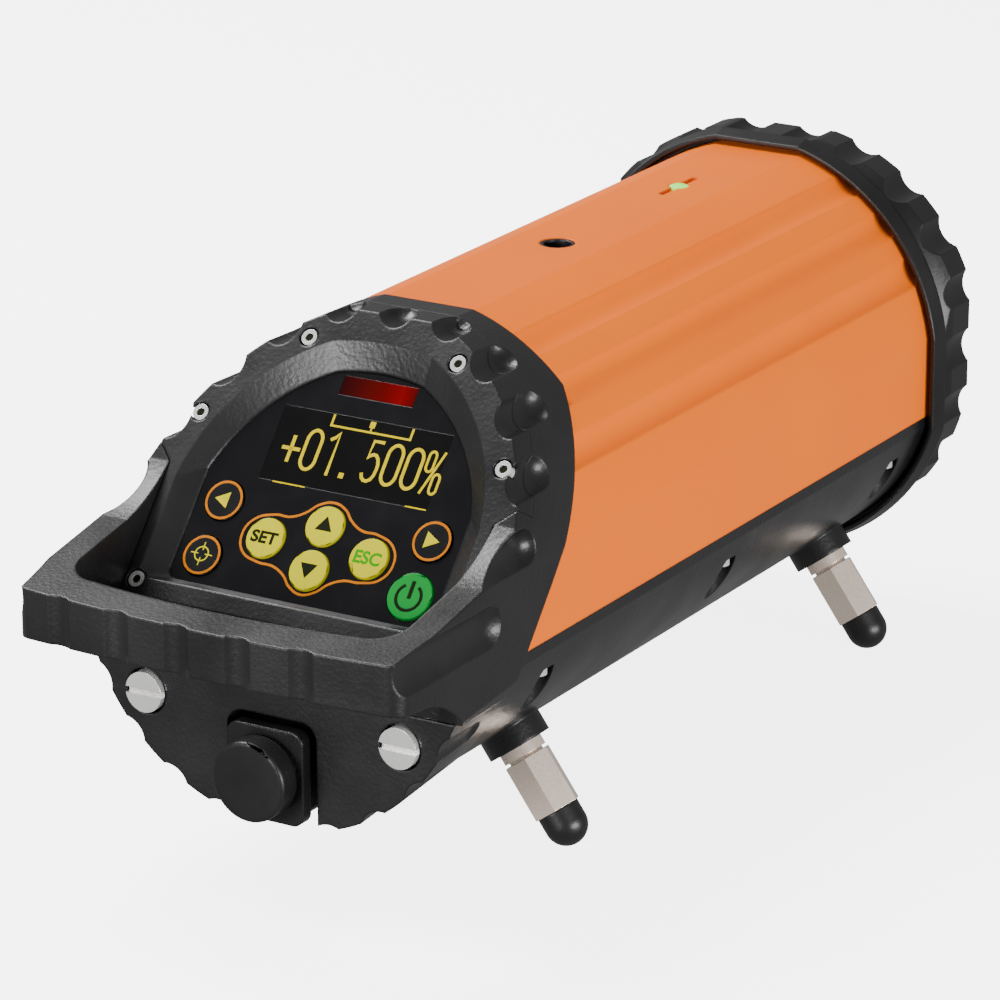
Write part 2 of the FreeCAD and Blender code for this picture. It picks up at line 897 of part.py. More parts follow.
diagonal = corner * 0.2929
guard_plan = prism_z("guard_plan", (-half, guard_back + 5), [
    (-half, nose + bulge + corner),
    ((-half + diagonal, nose + bulge + diagonal), (-half + corner, nose + bulge)),
    ((0, nose), (half - corner, nose + bulge)),
    ((half - diagonal, nose + bulge + diagonal), (half, nose + bulge + corner)),
    (half, guard_back + 5),
], -FAR, FAR)
guard_solid = common("guard_solid", [guard_outer, guard_side, guard_plan])


def pocket_tool(name, angle, radius_at, depth, tool_radius, y_from, y_to):
    """Round-ended groove along the tube, at an angle from straight up."""
    centre = radius_at + tool_radius - depth
    x = centre * sine(angle)
    z = centre * cosine(angle)
    end = y_to - tool_radius
    return [
        cylinder(name, tool_radius, end - y_from, x, y_from, z, "y"),
        ball(name + "_end", tool_radius, x, end, z),
    ]


POCKET_REAR = {0: 0, 1: 0, 2: 0, 3: 3, 4: 6.5, 5: 10.5, 6: 14}
guard_pockets = []
for number in POCKET_REAR:
    angle = cell("pocket_pitch") * number
    if number == 0:
        radius_at = cell("body_top") + cell("guard_proud")
    elif number == 6:
        radius_at = cell("body_half_width") + cell("guard_proud") + 1
    else:
        radius_at = crest(angle) + cell("guard_proud") + (0.6 if number > 3 else 0)
    z = radius_at * cosine(angle)
    hollow = cell("side_pocket_radius" if number == 6 else "pocket_radius")
    rear = guard_back if z.value > high.value else guard_boundary(z)
    rear = rear - cell("pocket_margin") - POCKET_REAR[number]
    for sign in ((1,) if number == 0 else (1, -1)):
        guard_pockets += pocket_tool("guard_pocket", angle * sign, radius_at, cell("pocket_depth"),
                                     hollow, nose - 10, rear)
pocket_set = fuse("pocket_set", guard_pockets)

bar_tools = []
for number in range(5):
    x = cell("bar_flute_first") + cell("bar_flute_pitch") * number
    drop = bulge * (x / half) * (x / half)
    reach = cell("bar_flute_radius") - cell("bar_flute_depth")
    bar_tools.append(cylinder("bar_flute", cell("bar_flute_radius"), 60, x, nose + drop - reach, -40))

seat = cell("seat_depth")
arm = cell("arm_inner")
gap = cell("seam_gap")
ledge_z = panel_rise - (cell("bezel_low") + gap) * cosine(tilt) - seat * sine(tilt)
bezel_cut = prism_panel("bezel_seat_cut", (-arm, -cell("bezel_low") - gap), [
    (arm, -cell("bezel_low") - gap),
    (arm, -cell("bezel_shoulder")),
    (arm + 14, -cell("bezel_shoulder") + 14),
    (arm + 14, FAR),
    (-arm - 14, FAR),
    (-arm - 14, -cell("bezel_shoulder") + 14),
    (-arm, -cell("bezel_shoulder")),
], seat, -FAR)
bar_back = nose + cell("bar_thick")
cavity_plan = prism_z("cavity_plan", (-arm, guard_back), [
    (-arm, bar_back + 10 + bulge),
    ((-arm + 2.93, bar_back + bulge + 2.93), (-arm + 10, bar_back + bulge)),
    ((0, bar_back), (arm - 10, bar_back + bulge)),
    ((arm - 2.93, bar_back + bulge + 2.93), (arm, bar_back + 10 + bulge)),
    (arm, guard_back),
], -FAR, FAR)
cavity_side = prism_x("cavity_side", (nose, -FAR), [
    (cover_front, -FAR),
    (cover_front, ledge_z),
    (panel_line(ledge_z, seat), ledge_z),
    (panel_line(as_size(FAR), seat), FAR),
    (nose, FAR),
], 4 * FAR)
cavity = common("cavity", [cavity_plan, cavity_side])
behind = seat + cell("seat_wall")
guard_inner = loft_y("guard_inner", [
    smooth_outline(-cell("guard_wall")), smooth_outline(cell("guard_proud") - cell("guard_wall"))],
    [nose - 2, guard_back + 1])
hollow_side = prism_x("hollow_side", (panel_line(as_size(FAR), behind), FAR), [
    (panel_line(floor_z + 3, behind), floor_z + 3),
    (guard_back + 5, floor_z + 3),
    (guard_back + 5, FAR),
], 4 * FAR)
guard_hollow = common("guard_hollow", [guard_inner, hollow_side])
board_start = (-43, -47)
BOARD = [(43, -47), (43, 0), (19, 23), (-19, 23), (-43, 0)]
board_opening = prism_panel("board_opening", board_start, BOARD, behind + 2, seat - 2)
SCREWS = [(24.2, 27.4), (49.2, 0.0), (49.2, -51.2)]
bezel_screws = []
screw_bosses = []
screw_pilots = []
bezel_sinks = []
for x, rise in SCREWS:
    for sign in (1, -1):
        head_top = cell("bezel_sink_depth") - cell("bezel_head_height")
        screw_bosses.append(panel_cylinder("screw_boss", 3.6, sign * x, rise, behind + 5, behind - 1))
        screw_pilots.append(panel_cylinder("screw_pilot", cell("bezel_shank"), sign * x, rise, behind + 3, 0))
        bezel_sinks.append(panel_cylinder("screw_sink", cell("bezel_sink_radius"), sign * x, rise,
                                          cell("bezel_sink_depth"), -10))
        bezel_sinks.append(panel_cylinder("screw_clearance", cell("bezel_shank") + 0.1, sign * x, rise, 20, -1))
        screw = fuse("bezel_screw", [
            panel_cylinder("bezel_screw_head", cell("bezel_head_radius"), sign * x, rise,
                           cell("bezel_sink_depth"), head_top),
            panel_cylinder("bezel_screw_shank", cell("bezel_shank"), sign * x, rise, behind + 2, head_top + 1),
        ])
        bezel_screws.append(cut("bezel_screw_cut", screw, [
            panel_cylinder("bezel_screw_socket", 1.25, sign * x, rise, head_top + 1.4, head_top - 1)]))
boss_set = common("boss_set", [fuse("bosses", screw_bosses), guard_outer])
guard_body = cut("guard_body", guard_solid, [pocket_set, cavity, bezel_cut, guard_hollow, board_opening] + bar_tools)
guard_full = fuse("guard_full", [guard_body, boss_set])
piece("control_guard", cut("guard", guard_full, screw_pilots))
piece("bezel_screws", gather("bezel_screws", bezel_screws))

# Bezel


def window_outline(grow):
    """Outline of the membrane that shows, grown by grow."""
    wide = 42.3 + grow
    low = -47.7 - grow
    start = (-wide + 3, low)
    return start, [
        (wide - 3, low),
        ((wide - 0.88, low + 0.88), (wide, low + 3)),
        (wide, -14.0),
        ((32.6 + grow * 0.76, 4.6 + grow * 0.65), (14.0 + grow * 0.3, 19.8 + grow * 0.95)),
        ((0, 21.5 + grow), (-14.0 - grow * 0.3, 19.8 + grow * 0.95)),
        ((-32.6 - grow * 0.76, 4.6 + grow * 0.65), (-wide, -14.0)),
        (-wide, low + 3),
        ((-wide + 0.88, low + 0.88), start),
    ]


def face_outline():
    """Outline where the bezel's flat face turns down towards the membrane."""
    start = (-46.0, -50.3)
    return start, [
        (46.0, -50.3),
        ((48.2, -49.4), (49.1, -47.3)),
        (49.1, -20.0),
        ((40.3, 5.6), (16.0, 27.6)),
        ((0, 29.2), (-16.0, 27.6)),
        ((-40.3, 5.6), (-49.1, -20.0)),
        (-49.1, -47.3),
        ((-48.2, -49.4), start),
    ]


half = cell("bezel_half")
bezel_slab = prism_panel("bezel_slab", (-half, -cell("bezel_low")), [
    (half, -cell("bezel_low")),
    (half, -cell("bezel_shoulder")),
    (half + 14, -cell("bezel_shoulder") + 14),
    (half + 14, FAR),
    (-half - 14, FAR),
    (-half - 14, -cell("bezel_shoulder") + 14),
    (-half, -cell("bezel_shoulder")),
], seat, 0)
bezel_block = common("bezel_block", [bezel_slab, guard_outer])
membrane = cell("membrane_depth")
bezel_opening = loft_panel("bezel_opening", [window_outline(0), face_outline()], [membrane, 0])
recess_start, recess_steps = window_outline(2)
bezel_recess = prism_panel("bezel_recess", recess_start, recess_steps, seat + 1, membrane)
piece("panel_bezel", cut("bezel", bezel_block,
                         [pocket_set, bezel_opening, bezel_recess] + bezel_sinks))

# Membrane plate with its windows and keys

KEYS = {
    "key_left": (-33.8, -22.8, "key_radius"),
    "key_right": (33.8, -22.8, "key_radius"),
    "key_spot": (-34.2, -39.6, "key_radius"),
    "key_power": (33.2, -39.2, "power_key_radius"),
    "key_set": (-16.8, -31.1, "key_radius"),
    "key_escape": (16.8, -31.1, "key_radius"),
    "key_up": (0.0, -24.5, "key_radius"),
    "key_down": (0.0, -37.7, "key_radius"),
}
plate_low = membrane + cell("membrane_thick")


def rectangle(x, rise, width, height):
    start = (x - width / 2, rise - height / 2)
    return start, [(x + width / 2, rise - height / 2), (x + width / 2, rise + height / 2),
                   (x - width / 2, rise + height / 2)]


display = [cell("display_x"), cell("display_rise"), cell("display_width"), cell("display_height")]
receiver = [cell("receiver_x"), cell("receiver_rise"), cell("receiver_width"), cell("receiver_height")]
slack = cell("fit_gap") * 2
plate_start, plate_steps = window_outline(1.7)
plate_raw = prism_panel("plate_raw", plate_start, plate_steps, plate_low, membrane)
display_hole_outline = rectangle(display[0], display[1], display[2] + slack, display[3] + slack)
receiver_hole_outline = rectangle(receiver[0], receiver[1], receiver[2] + slack, receiver[3] + slack)
plate_tools = [
    prism_panel("display_hole", display_hole_outline[0], display_hole_outline[1], plate_low + 1, membrane - 1),
    prism_panel("receiver_hole", receiver_hole_outline[0], receiver_hole_outline[1], plate_low + 1, membrane - 1),
]
dome_parts = []
flange_top = plate_low + 0.1
flange_low = flange_top + 0.7
for name, (x, rise, radius_name) in KEYS.items():
    radius = cell(radius_name)
    plate_tools.append(panel_cylinder("key_hole", radius + cell("key_gap"), x, rise, plate_low + 1, membrane - 1))
    stem = panel_cylinder(name + "_stem", radius, x, rise, flange_top + 0.1, membrane - cell("key_proud"))
    lip = radius + (cell("key_flange_radius") - cell("key_radius"))
    flange = panel_cylinder(name + "_flange", lip, x, rise, flange_low, flange_top)
    piece(name, fuse(name, [stem, flange]))
    dome_parts.append(panel_cylinder("dome", 4, x, rise, behind - 1, flange_low + cell("key_travel") + 0.1))
piece("keypad_panel", cut("keypad_panel", plate_raw, plate_tools))
glass = rectangle(display[0], display[1], display[2], display[3])
piece("display_window", prism_panel("display_window", glass[0], glass[1], plate_low, membrane))
filter_outline = rectangle(receiver[0], receiver[1], receiver[2], receiver[3])
piece("receiver_window", prism_panel("receiver_window", filter_outline[0], filter_outline[1],
                                     plate_low, membrane))
mat_outline = rectangle(as_size(0), as_size(-31.6), as_size(84), as_size(29.0))
mat_sheet = prism_panel("mat_sheet", mat_outline[0], mat_outline[1], behind, behind - 1.2)
piece("dome_mat", fuse("dome_mat", [mat_sheet] + dome_parts))
module_outline = rectangle(display[0], as_size(-2.6), display[2] + 2, display[3] + 3)
piece("display_module", prism_panel("display_module", module_outline[0], module_outline[1],
                                    behind, plate_low + 0.1))
board_plate = prism_panel("board_plate", (-44, -46), [(44, -46), (44, -1), (20, 22), (-20, 22), (-44, -1)],
                          behind + 1.6, behind)
board_chips = []
for x, rise, wide, tall in ((-20, -30, 12, 12), (5, -28, 18, 10), (26, -10, 8, 14), (-8, 8, 10, 6)):
    chip = rectangle(as_size(x), as_size(rise), as_size(wide), as_size(tall))
    board_chips.append(prism_panel("board_chip", chip[0], chip[1], behind + 3.2, behind + 1.5))
piece("display_board", fuse("display_board", [board_plate] + board_chips))

# Battery cover


def cover_outline(side_grow, low_grow):
    top = -cell("guard_floor") - cell("seam_gap")
    reach = side_reach(cell("body_radius") + side_grow, top)
    low = -(cell("body_radius") + low_grow)
    return (-reach, top), [(reach, top), ((0, low), (-reach, top))]


cover_raw = loft_y("cover_raw", [cover_outline(cell("cover_cheek"), cell("cover_chin")),
                                 cover_outline(cell("cover_proud"), cell("cover_proud"))],
                   [cover_front, cover_back])
cover_tools = []
for number in range(1, 5):
    below = cell("cover_notch_pitch") * number
    rim = cell("body_radius") + cell("cover_chin") * cosine(below) + 0.3
    for sign in (1, -1):
        cover_tools += pocket_tool("cover_notch", (180 - below) * sign, rim, cell("cover_notch_depth"),
                                   cell("cover_notch_radius"), cover_front - 10, cover_back - 4)
notch = cell("notch_half")
notch_top = -cell("notch_top")
notch_corner = cell("notch_corner")
arc_cut = notch_corner * 0.2929
cover_tools.append(prism_y("cover_u_notch", (-notch, -FAR), [
    (-notch, notch_top - notch_corner),
    ((-notch + arc_cut, notch_top - arc_cut), (-notch + notch_corner, notch_top)),
    (notch - notch_corner, notch_top),
    ((notch - arc_cut, notch_top - arc_cut), (notch, notch_top - notch_corner)),
    (notch, -FAR),
], cover_front - 5, cover_back + 5))
seat_y = cover_front + cell("captive_head_height") - cell("captive_proud")
for x in both_sides([cell("captive_x")]):
    drop = -cell("captive_drop")
    cover_tools.append(cylinder("captive_sink", cell("captive_head_radius") + cell("counterbore_gap"), 20,
                                x, seat_y - 20, drop, "y"))
    cover_tools.append(cylinder("captive_hole", cell("captive_shank") + 0.1, 60, x, cover_front, drop, "y"))
contact_back = cover_front + 6
for x in both_sides([cell("cell_x")]):
    cover_tools.append(cylinder("cell_room", cell("cell_radius") + 0.6, 40, x, contact_back,
                                -cell("cell_drop"), "y"))
piece("battery_cover", cut("battery_cover", cover_raw, cover_tools))
for name, sign in (("captive_screw_left", -1), ("captive_screw_right", 1)):
    x = cell("captive_x") * sign
    drop = -cell("captive_drop")
    head_front = cover_front - cell("captive_proud")
    screw = fuse(name + "_solid", [
        cylinder(name + "_head", cell("captive_head_radius"), cell("captive_head_height"), x, head_front, drop, "y"),
        cylinder(name + "_shank", cell("captive_shank"), cover_back + 4 - head_front, x, head_front, drop, "y"),
    ])
    piece(name, cut(name, screw, [
        box(name + "_slot", x - 8, x + 8, head_front - 1, head_front + 1.8, drop - 0.9, drop + 0.9)]))

# Charging socket

half = cell("flange_half")
high_z = -cell("flange_top")
low_z = -cell("flange_low")
bend = cell("flange_corner")
bend_cut = bend * 0.2929
flange_front = cover_front - cell("flange_proud")
flange_back = flange_front + cell("flange_thick")


def square_plate(name, inset, y_from, y_to):
    return prism_y(name, (-half + bend, low_z + inset), [
        (half - bend, low_z + inset),
        ((half - bend_cut - inset, low_z + bend_cut + inset), (half - inset, low_z + bend)),
        (half - inset, high_z - bend),
        ((half - bend_cut - inset, high_z - bend_cut - inset), (half - bend, high_z - inset)),
        (-half + bend, high_z - inset),
        ((-half + bend_cut + inset, high_z - bend_cut - inset), (-half + inset, high_z - bend)),
        (-half + inset, low_z + bend),
        ((-half + bend_cut + inset, low_z + bend_cut + inset), (-half + bend, low_z + inset)),
    ], y_from, y_to)


cap_z = -cell("cap_drop")
jack = cell("jack_radius")
jack_front = cover_front - 8.5
piece("socket_flange", cut("socket_flange", square_plate("flange_plate", 0, flange_front, flange_back), [
    cylinder("flange_bore", jack + cell("fit_gap"), 20, 0, flange_front - 5, cap_z, "y")]))
piece("charge_socket", cut("charge_socket", square_plate("socket_block", as_size(1.2), flange_back, cover_back), [
    cylinder("socket_bore", jack + cell("fit_gap"), 16, 0, flange_back - 5, cap_z, "y")]))
jack_back = flange_back + 10
jack_body = fuse("jack_body", [
    cylinder("jack_barrel", jack, jack_back - jack_front, 0, jack_front, cap_z, "y")])
piece("charge_jack", fuse("charge_jack", [
    cut("jack_shell", jack_body, [cylinder("jack_bore", jack - 2.5, 12, 0, jack_front - 1, cap_z, "y")]),
    cylinder("jack_pin", 1.2, 10, 0, jack_front + 2, cap_z, "y"),
]))
cap_front = cover_front - cell("cap_front")
cap_back = cap_front + cell("cap_thick")
piece("dust_cap", cut("dust_cap", cylinder("cap_disc", cell("cap_radius"), cell("cap_thick"),
                                           0, cap_front, cap_z, "y"), [
    cylinder("cap_bore", jack + 0.1, cap_back - jack_front + 0.3, 0, jack_front - 0.3, cap_z, "y")]))

# Battery tubes, cells and contacts

case_from = cover_back + bulkhead_thick
cells_from = contact_back + 8
cell_length = (well_from - cell("battery_gap") - cells_from) / 2
cells_to = cells_from + cell_length * 2
drop = -cell("cell_drop")
case_outer = []
case_bore = []
cells = []
contacts = []
for x in both_sides([cell("cell_x")]):
    case_outer.append(cylinder("case_tube", cell("cell_radius") + 0.3 + cell("case_wall"),
                               cells_to + 2 - case_from, x, case_from, drop, "y"))
    case_bore.append(cylinder("case_bore", cell("cell_radius") + 0.3, cells_to - case_from + 2,
                              x, case_from - 2, drop, "y"))
    for number in range(2):
        begin = cells_from + cell_length * number
        cells.append(fuse("battery_cell", [
            cylinder("cell_can", cell("cell_radius"), cell_length - 2, x, begin + 2, drop, "y"),
            cylinder("cell_pole", 3.5, 3, x, begin, drop, "y"),
        ]))
    contacts.append(fuse("contact", [
        cylinder("contact_plate", cell("cell_radius") - 0.2, 1, x, contact_back, drop, "y"),
        cylinder("contact_coil", 4, 7.8, x, contact_back, drop, "y"),
    ]))
case_outer.append(box("case_web", -cell("cell_x"), cell("cell_x"), case_from, cells_to, drop + 5, drop + 9))
piece("battery_case", cut("battery_case", fuse("case_solid", case_outer), case_bore))
piece("battery_cells", gather("battery_cells", cells))
piece("battery_contacts", gather("battery_contacts", contacts))

# Chassis

plate_z = lower_edge
plate_top = plate_z + cell("chassis_plate")
well = cell("well_half")
wall = cell("well_wall")
well_low = -cell("well_depth")
chassis_from = leg_front_y + 5
chassis_to = shell_end - cell("spigot_length") - 2
well_to = gimbal_y + cell("fork_half") + 8
frame_to = gimbal_y + cell("beam_tube_front") + 1.5
edge = cell("chassis_half")
chassis_parts = [
    box("chassis_front", -edge, edge, chassis_from, well_from + wall, plate_z, plate_top),
    box("chassis_left", -edge, -well + wall, well_from, frame_to, plate_z, plate_top),
    box("chassis_right", well - wall, edge, well_from, frame_to, plate_z, plate_top),
    box("chassis_rear", -edge, edge, frame_to, chassis_to, plate_z, plate_top),
    box("well_left", -well, -well + wall, well_from, well_to, well_low, plate_top),
    box("well_right", well - wall, well, well_from, well_to, well_low, plate_top),
    box("well_floor", -well, well, well_from, well_to, well_low, well_low + wall),
    box("well_near", -well, well, well_from, well_from + wall, well_low, plate_top),
    box("well_far", -well, well, well_to - wall, well_to, well_low, plate_z - 4),
]
pivot_radius = as_size(5)
chassis_tools = [
    cylinder("line_bearing", pivot_radius + cell("fit_gap"), 10, 0, gimbal_y, well_low - 3),
]
for side, y in LEGS.values():
    chassis_tools.append(leg_cylinder("boss_clearance", side, y, cell("boss_radius") + 0.5,
                                      cell("boss_start") - 0.5, cell("boss_end")))
piece("chassis", cut("chassis", fuse("chassis_solid", chassis_parts), chassis_tools))

# Line fork

fork_in = cell("fork_inner")
fork_out = fork_in + cell("fork_thick")
fork_half = cell("fork_half")
base_low = as_size(-34)
base_top = as_size(-30)
floor_top = well_low + wall
drive_y = gimbal_y - cell("grade_lever")
line_y = gimbal_y - cell("line_lever")
fork_parts = [
    box("fork_base", -fork_out, fork_out, line_y - 5, gimbal_y + fork_half, base_low, base_top),
    box("fork_left", -fork_out, -fork_in, gimbal_y - fork_half, gimbal_y + fork_half, base_low, 8),
    box("fork_right", fork_in, fork_out, gimbal_y - fork_half, gimbal_y + fork_half, base_low, 8),
    box("motor_shelf", cell("drive_x") - 7, cell("drive_x") + 7, drive_y - 8, line_y + 4, base_low, base_top),
    cylinder("line_pivot", pivot_radius, base_low - well_low, 0, gimbal_y, well_low),
    cylinder("thrust_shoulder", 8, base_low - floor_top - 0.1, 0, gimbal_y, floor_top + 0.1),
    cylinder("line_tail", 1.5, 2.5, 0, line_y, base_low - 2.4),
]
piece("line_yoke", cut("line_yoke", fuse("fork_solid", fork_parts), [
    cylinder("trunnion_bore", cell("trunnion_radius") + cell("fit_gap"), 80, -40, gimbal_y, 0, "x")]))

# Beam tube that tilts in the fork

tube = cell("beam_tube_radius")
bore = tube - cell("beam_tube_wall")
tube_from = gimbal_y - cell("beam_tube_back")
tube_to = gimbal_y + cell("beam_tube_front")
boss_end = fork_in - 0.2
bracket_from = tube - 3
bracket_to = tube + 2.2
beam_parts = [
    cylinder("beam_barrel", tube, tube_to - tube_from, 0, tube_from, 0, "y"),
    cylinder("beam_boss", 6, boss_end * 2, -boss_end, gimbal_y, 0, "x"),
    box("drive_bracket", bracket_from, bracket_to, drive_y - 6, drive_y + 6, -5, 5),
]
slot_half = as_size(2.05)
beam_tools = [
    cylinder("beam_bore", bore, tube_to - tube_from + 2, 0, tube_from - 1, 0, "y"),
    cylinder("pin_bore", cell("trunnion_radius"), 80, -40, gimbal_y, 0, "x"),
    box("drive_slot", tube + 0.3, 30, drive_y - 4, drive_y + 4, -slot_half, slot_half),
]
piece("laser_tube", cut("laser_tube", fuse("beam_solid", beam_parts), beam_tools))
pins = []
for sign in (1, -1):
    way = "x" if sign == 1 else "-x"
    pins.append(cylinder("grade_pivot", cell("trunnion_radius"), fork_out - 0.3 - bore - 0.5,
                         (bore + 0.5) * sign, gimbal_y, 0, way))
piece("grade_pivots", gather("grade_pivots", pins))
piece("laser_module", fuse("laser_module", [
    cylinder("module_body", bore, 24, 0, tube_from + 2, 0, "y"),
    cylinder("module_nose", 5, 8, 0, tube_from + 25, 0, "y"),
]))
lens_y = tube_to - 8
lens = common("lens_blank", [
    ball("lens_face", 40, 0, lens_y - 36, 0),
    cylinder("lens_edge", bore, 10, 0, lens_y - 1, 0, "y"),
])
piece("collimator_lens", lens)
sensor_base = tube - 1
piece("level_sensor", cut("level_sensor", fuse("sensor_solid", [
    box("sensor_block", -9, 9, gimbal_y - 34, gimbal_y - 10, sensor_base, tube + 7),
    box("sensor_cross", -9, 9, gimbal_y - 9, gimbal_y - 1, sensor_base, tube + 5),
    box("sensor_bridge", -4, 4, gimbal_y - 12, gimbal_y - 7, sensor_base, tube + 3),
]), [cylinder("sensor_saddle", tube, 60, 0, gimbal_y - 45, 0, "y")]))

# Grade drive on the fork: motor, screw and nut

drive_x = cell("drive_x")
motor_top = base_top + 13
lead = as_size(2)
piece("grade_motor", cut("grade_motor", fuse("grade_motor_solid", [
    cylinder("grade_motor_can", 6.3, motor_top - base_top, drive_x, drive_y, base_top),
    cylinder("grade_motor_nose", 3.4, 1, drive_x, drive_y, motor_top),
]), [cylinder("grade_motor_bore", lead + cell("fit_gap"), 20, drive_x, drive_y, motor_top - 8)]))
piece("grade_screw", cylinder("grade_screw", lead, 36, drive_x, drive_y, motor_top - 7.9))
nut_half = as_size(2.5)
nut_solid = fuse("grade_nut_solid", [
    box("grade_nut_block", drive_x - 4.5, drive_x + 4.5, drive_y - 5, drive_y + 5, -nut_half, nut_half),
    cylinder("grade_nut_pin", 1.5, drive_x - 4 - (tube + 0.6), tube + 0.6, drive_y, 0, "x"),
])
piece("grade_nut", cut("grade_nut", nut_solid, [
    cylinder("grade_nut_bore", lead + cell("fit_gap") * 2, 20, drive_x, drive_y, -10)]))

# Line drive in the well: motor, screw and nut

line_z = as_size(-38.6)
thread = as_size(1.25)
piece("line_motor", cut("line_motor", fuse("line_motor_solid", [
    cylinder("line_motor_can", 3.8, 20, -well + wall, line_y, line_z, "x"),
    cylinder("line_motor_nose", 2.2, 1, -well + wall + 20, line_y, line_z, "x"),
]), [cylinder("line_motor_bore", thread + cell("fit_gap"), 20, -well + wall + 12, line_y, line_z, "x")]))
piece("line_screw", cylinder("line_screw", thread, 34, -well + wall + 12.1, line_y, line_z, "x"))
line_nut_solid = box("line_nut_block", -4, 4, line_y - 4.5, line_y + 4.5, line_z - 3.2, base_low - 0.4)
piece("line_nut", cut("line_nut", line_nut_solid, [
    cylinder("line_nut_bore", thread + cell("fit_gap") * 2, 20, -10, line_y, line_z, "x"),
    box("line_nut_slot", -1.6, 1.6, line_y - 3, line_y + 3, line_z + 1.9, base_low),
]))

# Control board on the chassis

board_from = chassis_from + 4
board_to = well_from - 4
main_parts = [box("main_plate", -40, 40, board_from, board_to, plate_top + 4, plate_top + 5.6)]
for x in (-36, 36):
    for y in (board_from + 4, board_to - 4):
        main_parts.append(cylinder("board_post", 2.5, 4, x, y, plate_top))
for x, part, wide, deep, tall in ((-18, 0.25, 16, 16, 2.2), (12, 0.2, 20, 10, 4), (20, 0.55, 12, 22, 8),
                                  (-20, 0.6, 14, 8, 6)):
    y = board_from + (board_to - board_from) * part
    main_parts.append(box("main_chip", x - wide / 2, x + wide / 2, y - deep / 2, y + deep / 2,
                          plate_top + 5.5, plate_top + 5.6 + tall))
piece("main_board", fuse("main_board", main_parts))

# Beam end: plate, window, ring

plate_from = shell_end
plate_to = plate_from + cell("end_plate_thick")
spigot = cell("spigot_radius")
hub = cell("hub_radius")
seat_from = plate_to
hub_to = seat_from + cell("window_thick") + 3
end_tools = [
    cylinder("end_aperture", cell("aperture_radius"), 60, 0, plate_from - 30, 0, "y"),
    cylinder("end_window_seat", cell("window_radius") + cell("fit_gap"), 30, 0, seat_from, 0, "y"),
    cylinder("spigot_hollow", spigot - 8, cell("spigot_length") + 3, 0,
             plate_from - cell("spigot_length") - 3, 0, "y"),
]
bumper_screw_places = []
for number in range(int(SIZES["bumper_screw_count"])):
    angle = 30 + 60 * number
    bumper_screw_places.append(polar(cell("bumper_screw_circle"), angle))
screw_hole = as_size(1.5)
for x, z in bumper_screw_places:
    end_tools.append(cylinder("end_thread", screw_hole, 30, x, plate_from - 8, z, "y"))
piece("end_plate", cut("end_plate", fuse("end_solid", [
    cylinder("end_disc", cell("end_plate_radius"), cell("end_plate_thick"), 0, plate_from, 0, "y"),
    cylinder("end_spigot", spigot, cell("spigot_length"), 0, plate_from - cell("spigot_length"), 0, "y"),
    cylinder("end_hub", hub, hub_to - plate_from, 0, plate_from, 0, "y"),
]), end_tools))
piece("exit_window", cylinder("exit_window", cell("window_radius"), cell("window_thick"), 0, seat_from, 0, "y"))
ring_from = seat_from + cell("window_thick")
ring_tools = [cylinder("window_ring_bore", cell("aperture_radius") + 0.5, 20, 0, ring_from - 5, 0, "y")]
for angle in (0, 90, 180, 270):
    x, z = polar(cell("window_radius") - 1.5, angle)
    ring_tools.append(cylinder("ring_notch", 1.2, 10, x, ring_from + 1.5, z, "y"))
piece("window_ring", cut("window_ring", cylinder("window_ring_blank", cell("window_radius"), 3,
                                                 0, ring_from, 0, "y"), ring_tools))

# Bumper

bumper_top = cell("bumper_top")
bumper_half = cell("bumper_half_width")
low_radius = cell("bumper_low_radius")


def bumper_outline():
    low = -leg_of(low_radius, bumper_half)
    shoulder = polar(cell("bumper_shoulder"), 41.6)
    top_corner = (cell("bumper_top_half"), bumper_top)
    side_corner = (bumper_half, cell("bumper_side_top"))
    start = mirrored(top_corner)
    return start, [
        top_corner,
        (shoulder, side_corner),
        (bumper_half, low),
        ((0, -low_radius), (-bumper_half, low)),
        mirrored(side_corner),
        (mirrored(shoulder), start),
    ]


bumper_start, bumper_steps = bumper_outline()
lip_end = bumper_front + cell("lip_length")
ring_front = lip_end + cell("hump_ramp")
bumper_solid = fuse("bumper_solid", [
    loft_y("bumper_lip", [smooth_outline(cell("lip_front")), smooth_outline(cell("lip_back"))],
           [bumper_front, lip_end]),
    loft_y("bumper_ramp", [smooth_outline(cell("hump_start")), bumper_outline()], [lip_end, ring_front]),
    prism_y("bumper_ring", bumper_start, bumper_steps, ring_front, tail),
])
recess_start, recess_steps = smooth_outline(cell("lip_recess"))
bore_start, bore_steps = smooth_outline(as_size(0.1))
bumper_tools = [
    prism_y("bumper_socket", bore_start, bore_steps, bumper_front - 1, plate_to),
    prism_y("lip_recess", recess_start, recess_steps, bumper_front - 1,
            bumper_front + cell("lip_recess_depth")),
    cylinder("bumper_mouth", cell("bumper_bore"), 60, 0, plate_to - 10, 0, "y"),
]
scallop = cell("scallop_radius")
pitch = 360.0 / SIZES["scallop_count"]
for number in range(int(SIZES["scallop_count"])):
    angle = pitch * (number + 0.5)
    folded = angle if angle <= 180 else 360 - angle
    if folded < 16:
        radius_at = bumper_top / cosine(folded)
    elif folded < 66:
        radius_at = cell("bumper_shoulder") - 0.02 * abs(folded - 42)
    elif folded < 98:
        radius_at = bumper_half / sine(folded)
    else:
        radius_at = low_radius
    bumper_tools += pocket_tool("scallop", angle, radius_at, cell("scallop_depth"), scallop,
                                lip_end, tail + 20)[:1]
for x, z in bumper_screw_places:
    bumper_tools.append(cylinder("bumper_screw_hole", screw_hole + 0.1, 40, x, plate_to - 5, z, "y"))
    bumper_tools.append(cylinder("bumper_screw_sink", 3.4, 20, x, tail - 5.0, z, "y"))
piece("end_bumper", cut("end_bumper", bumper_solid, bumper_tools))
bumper_screws = []
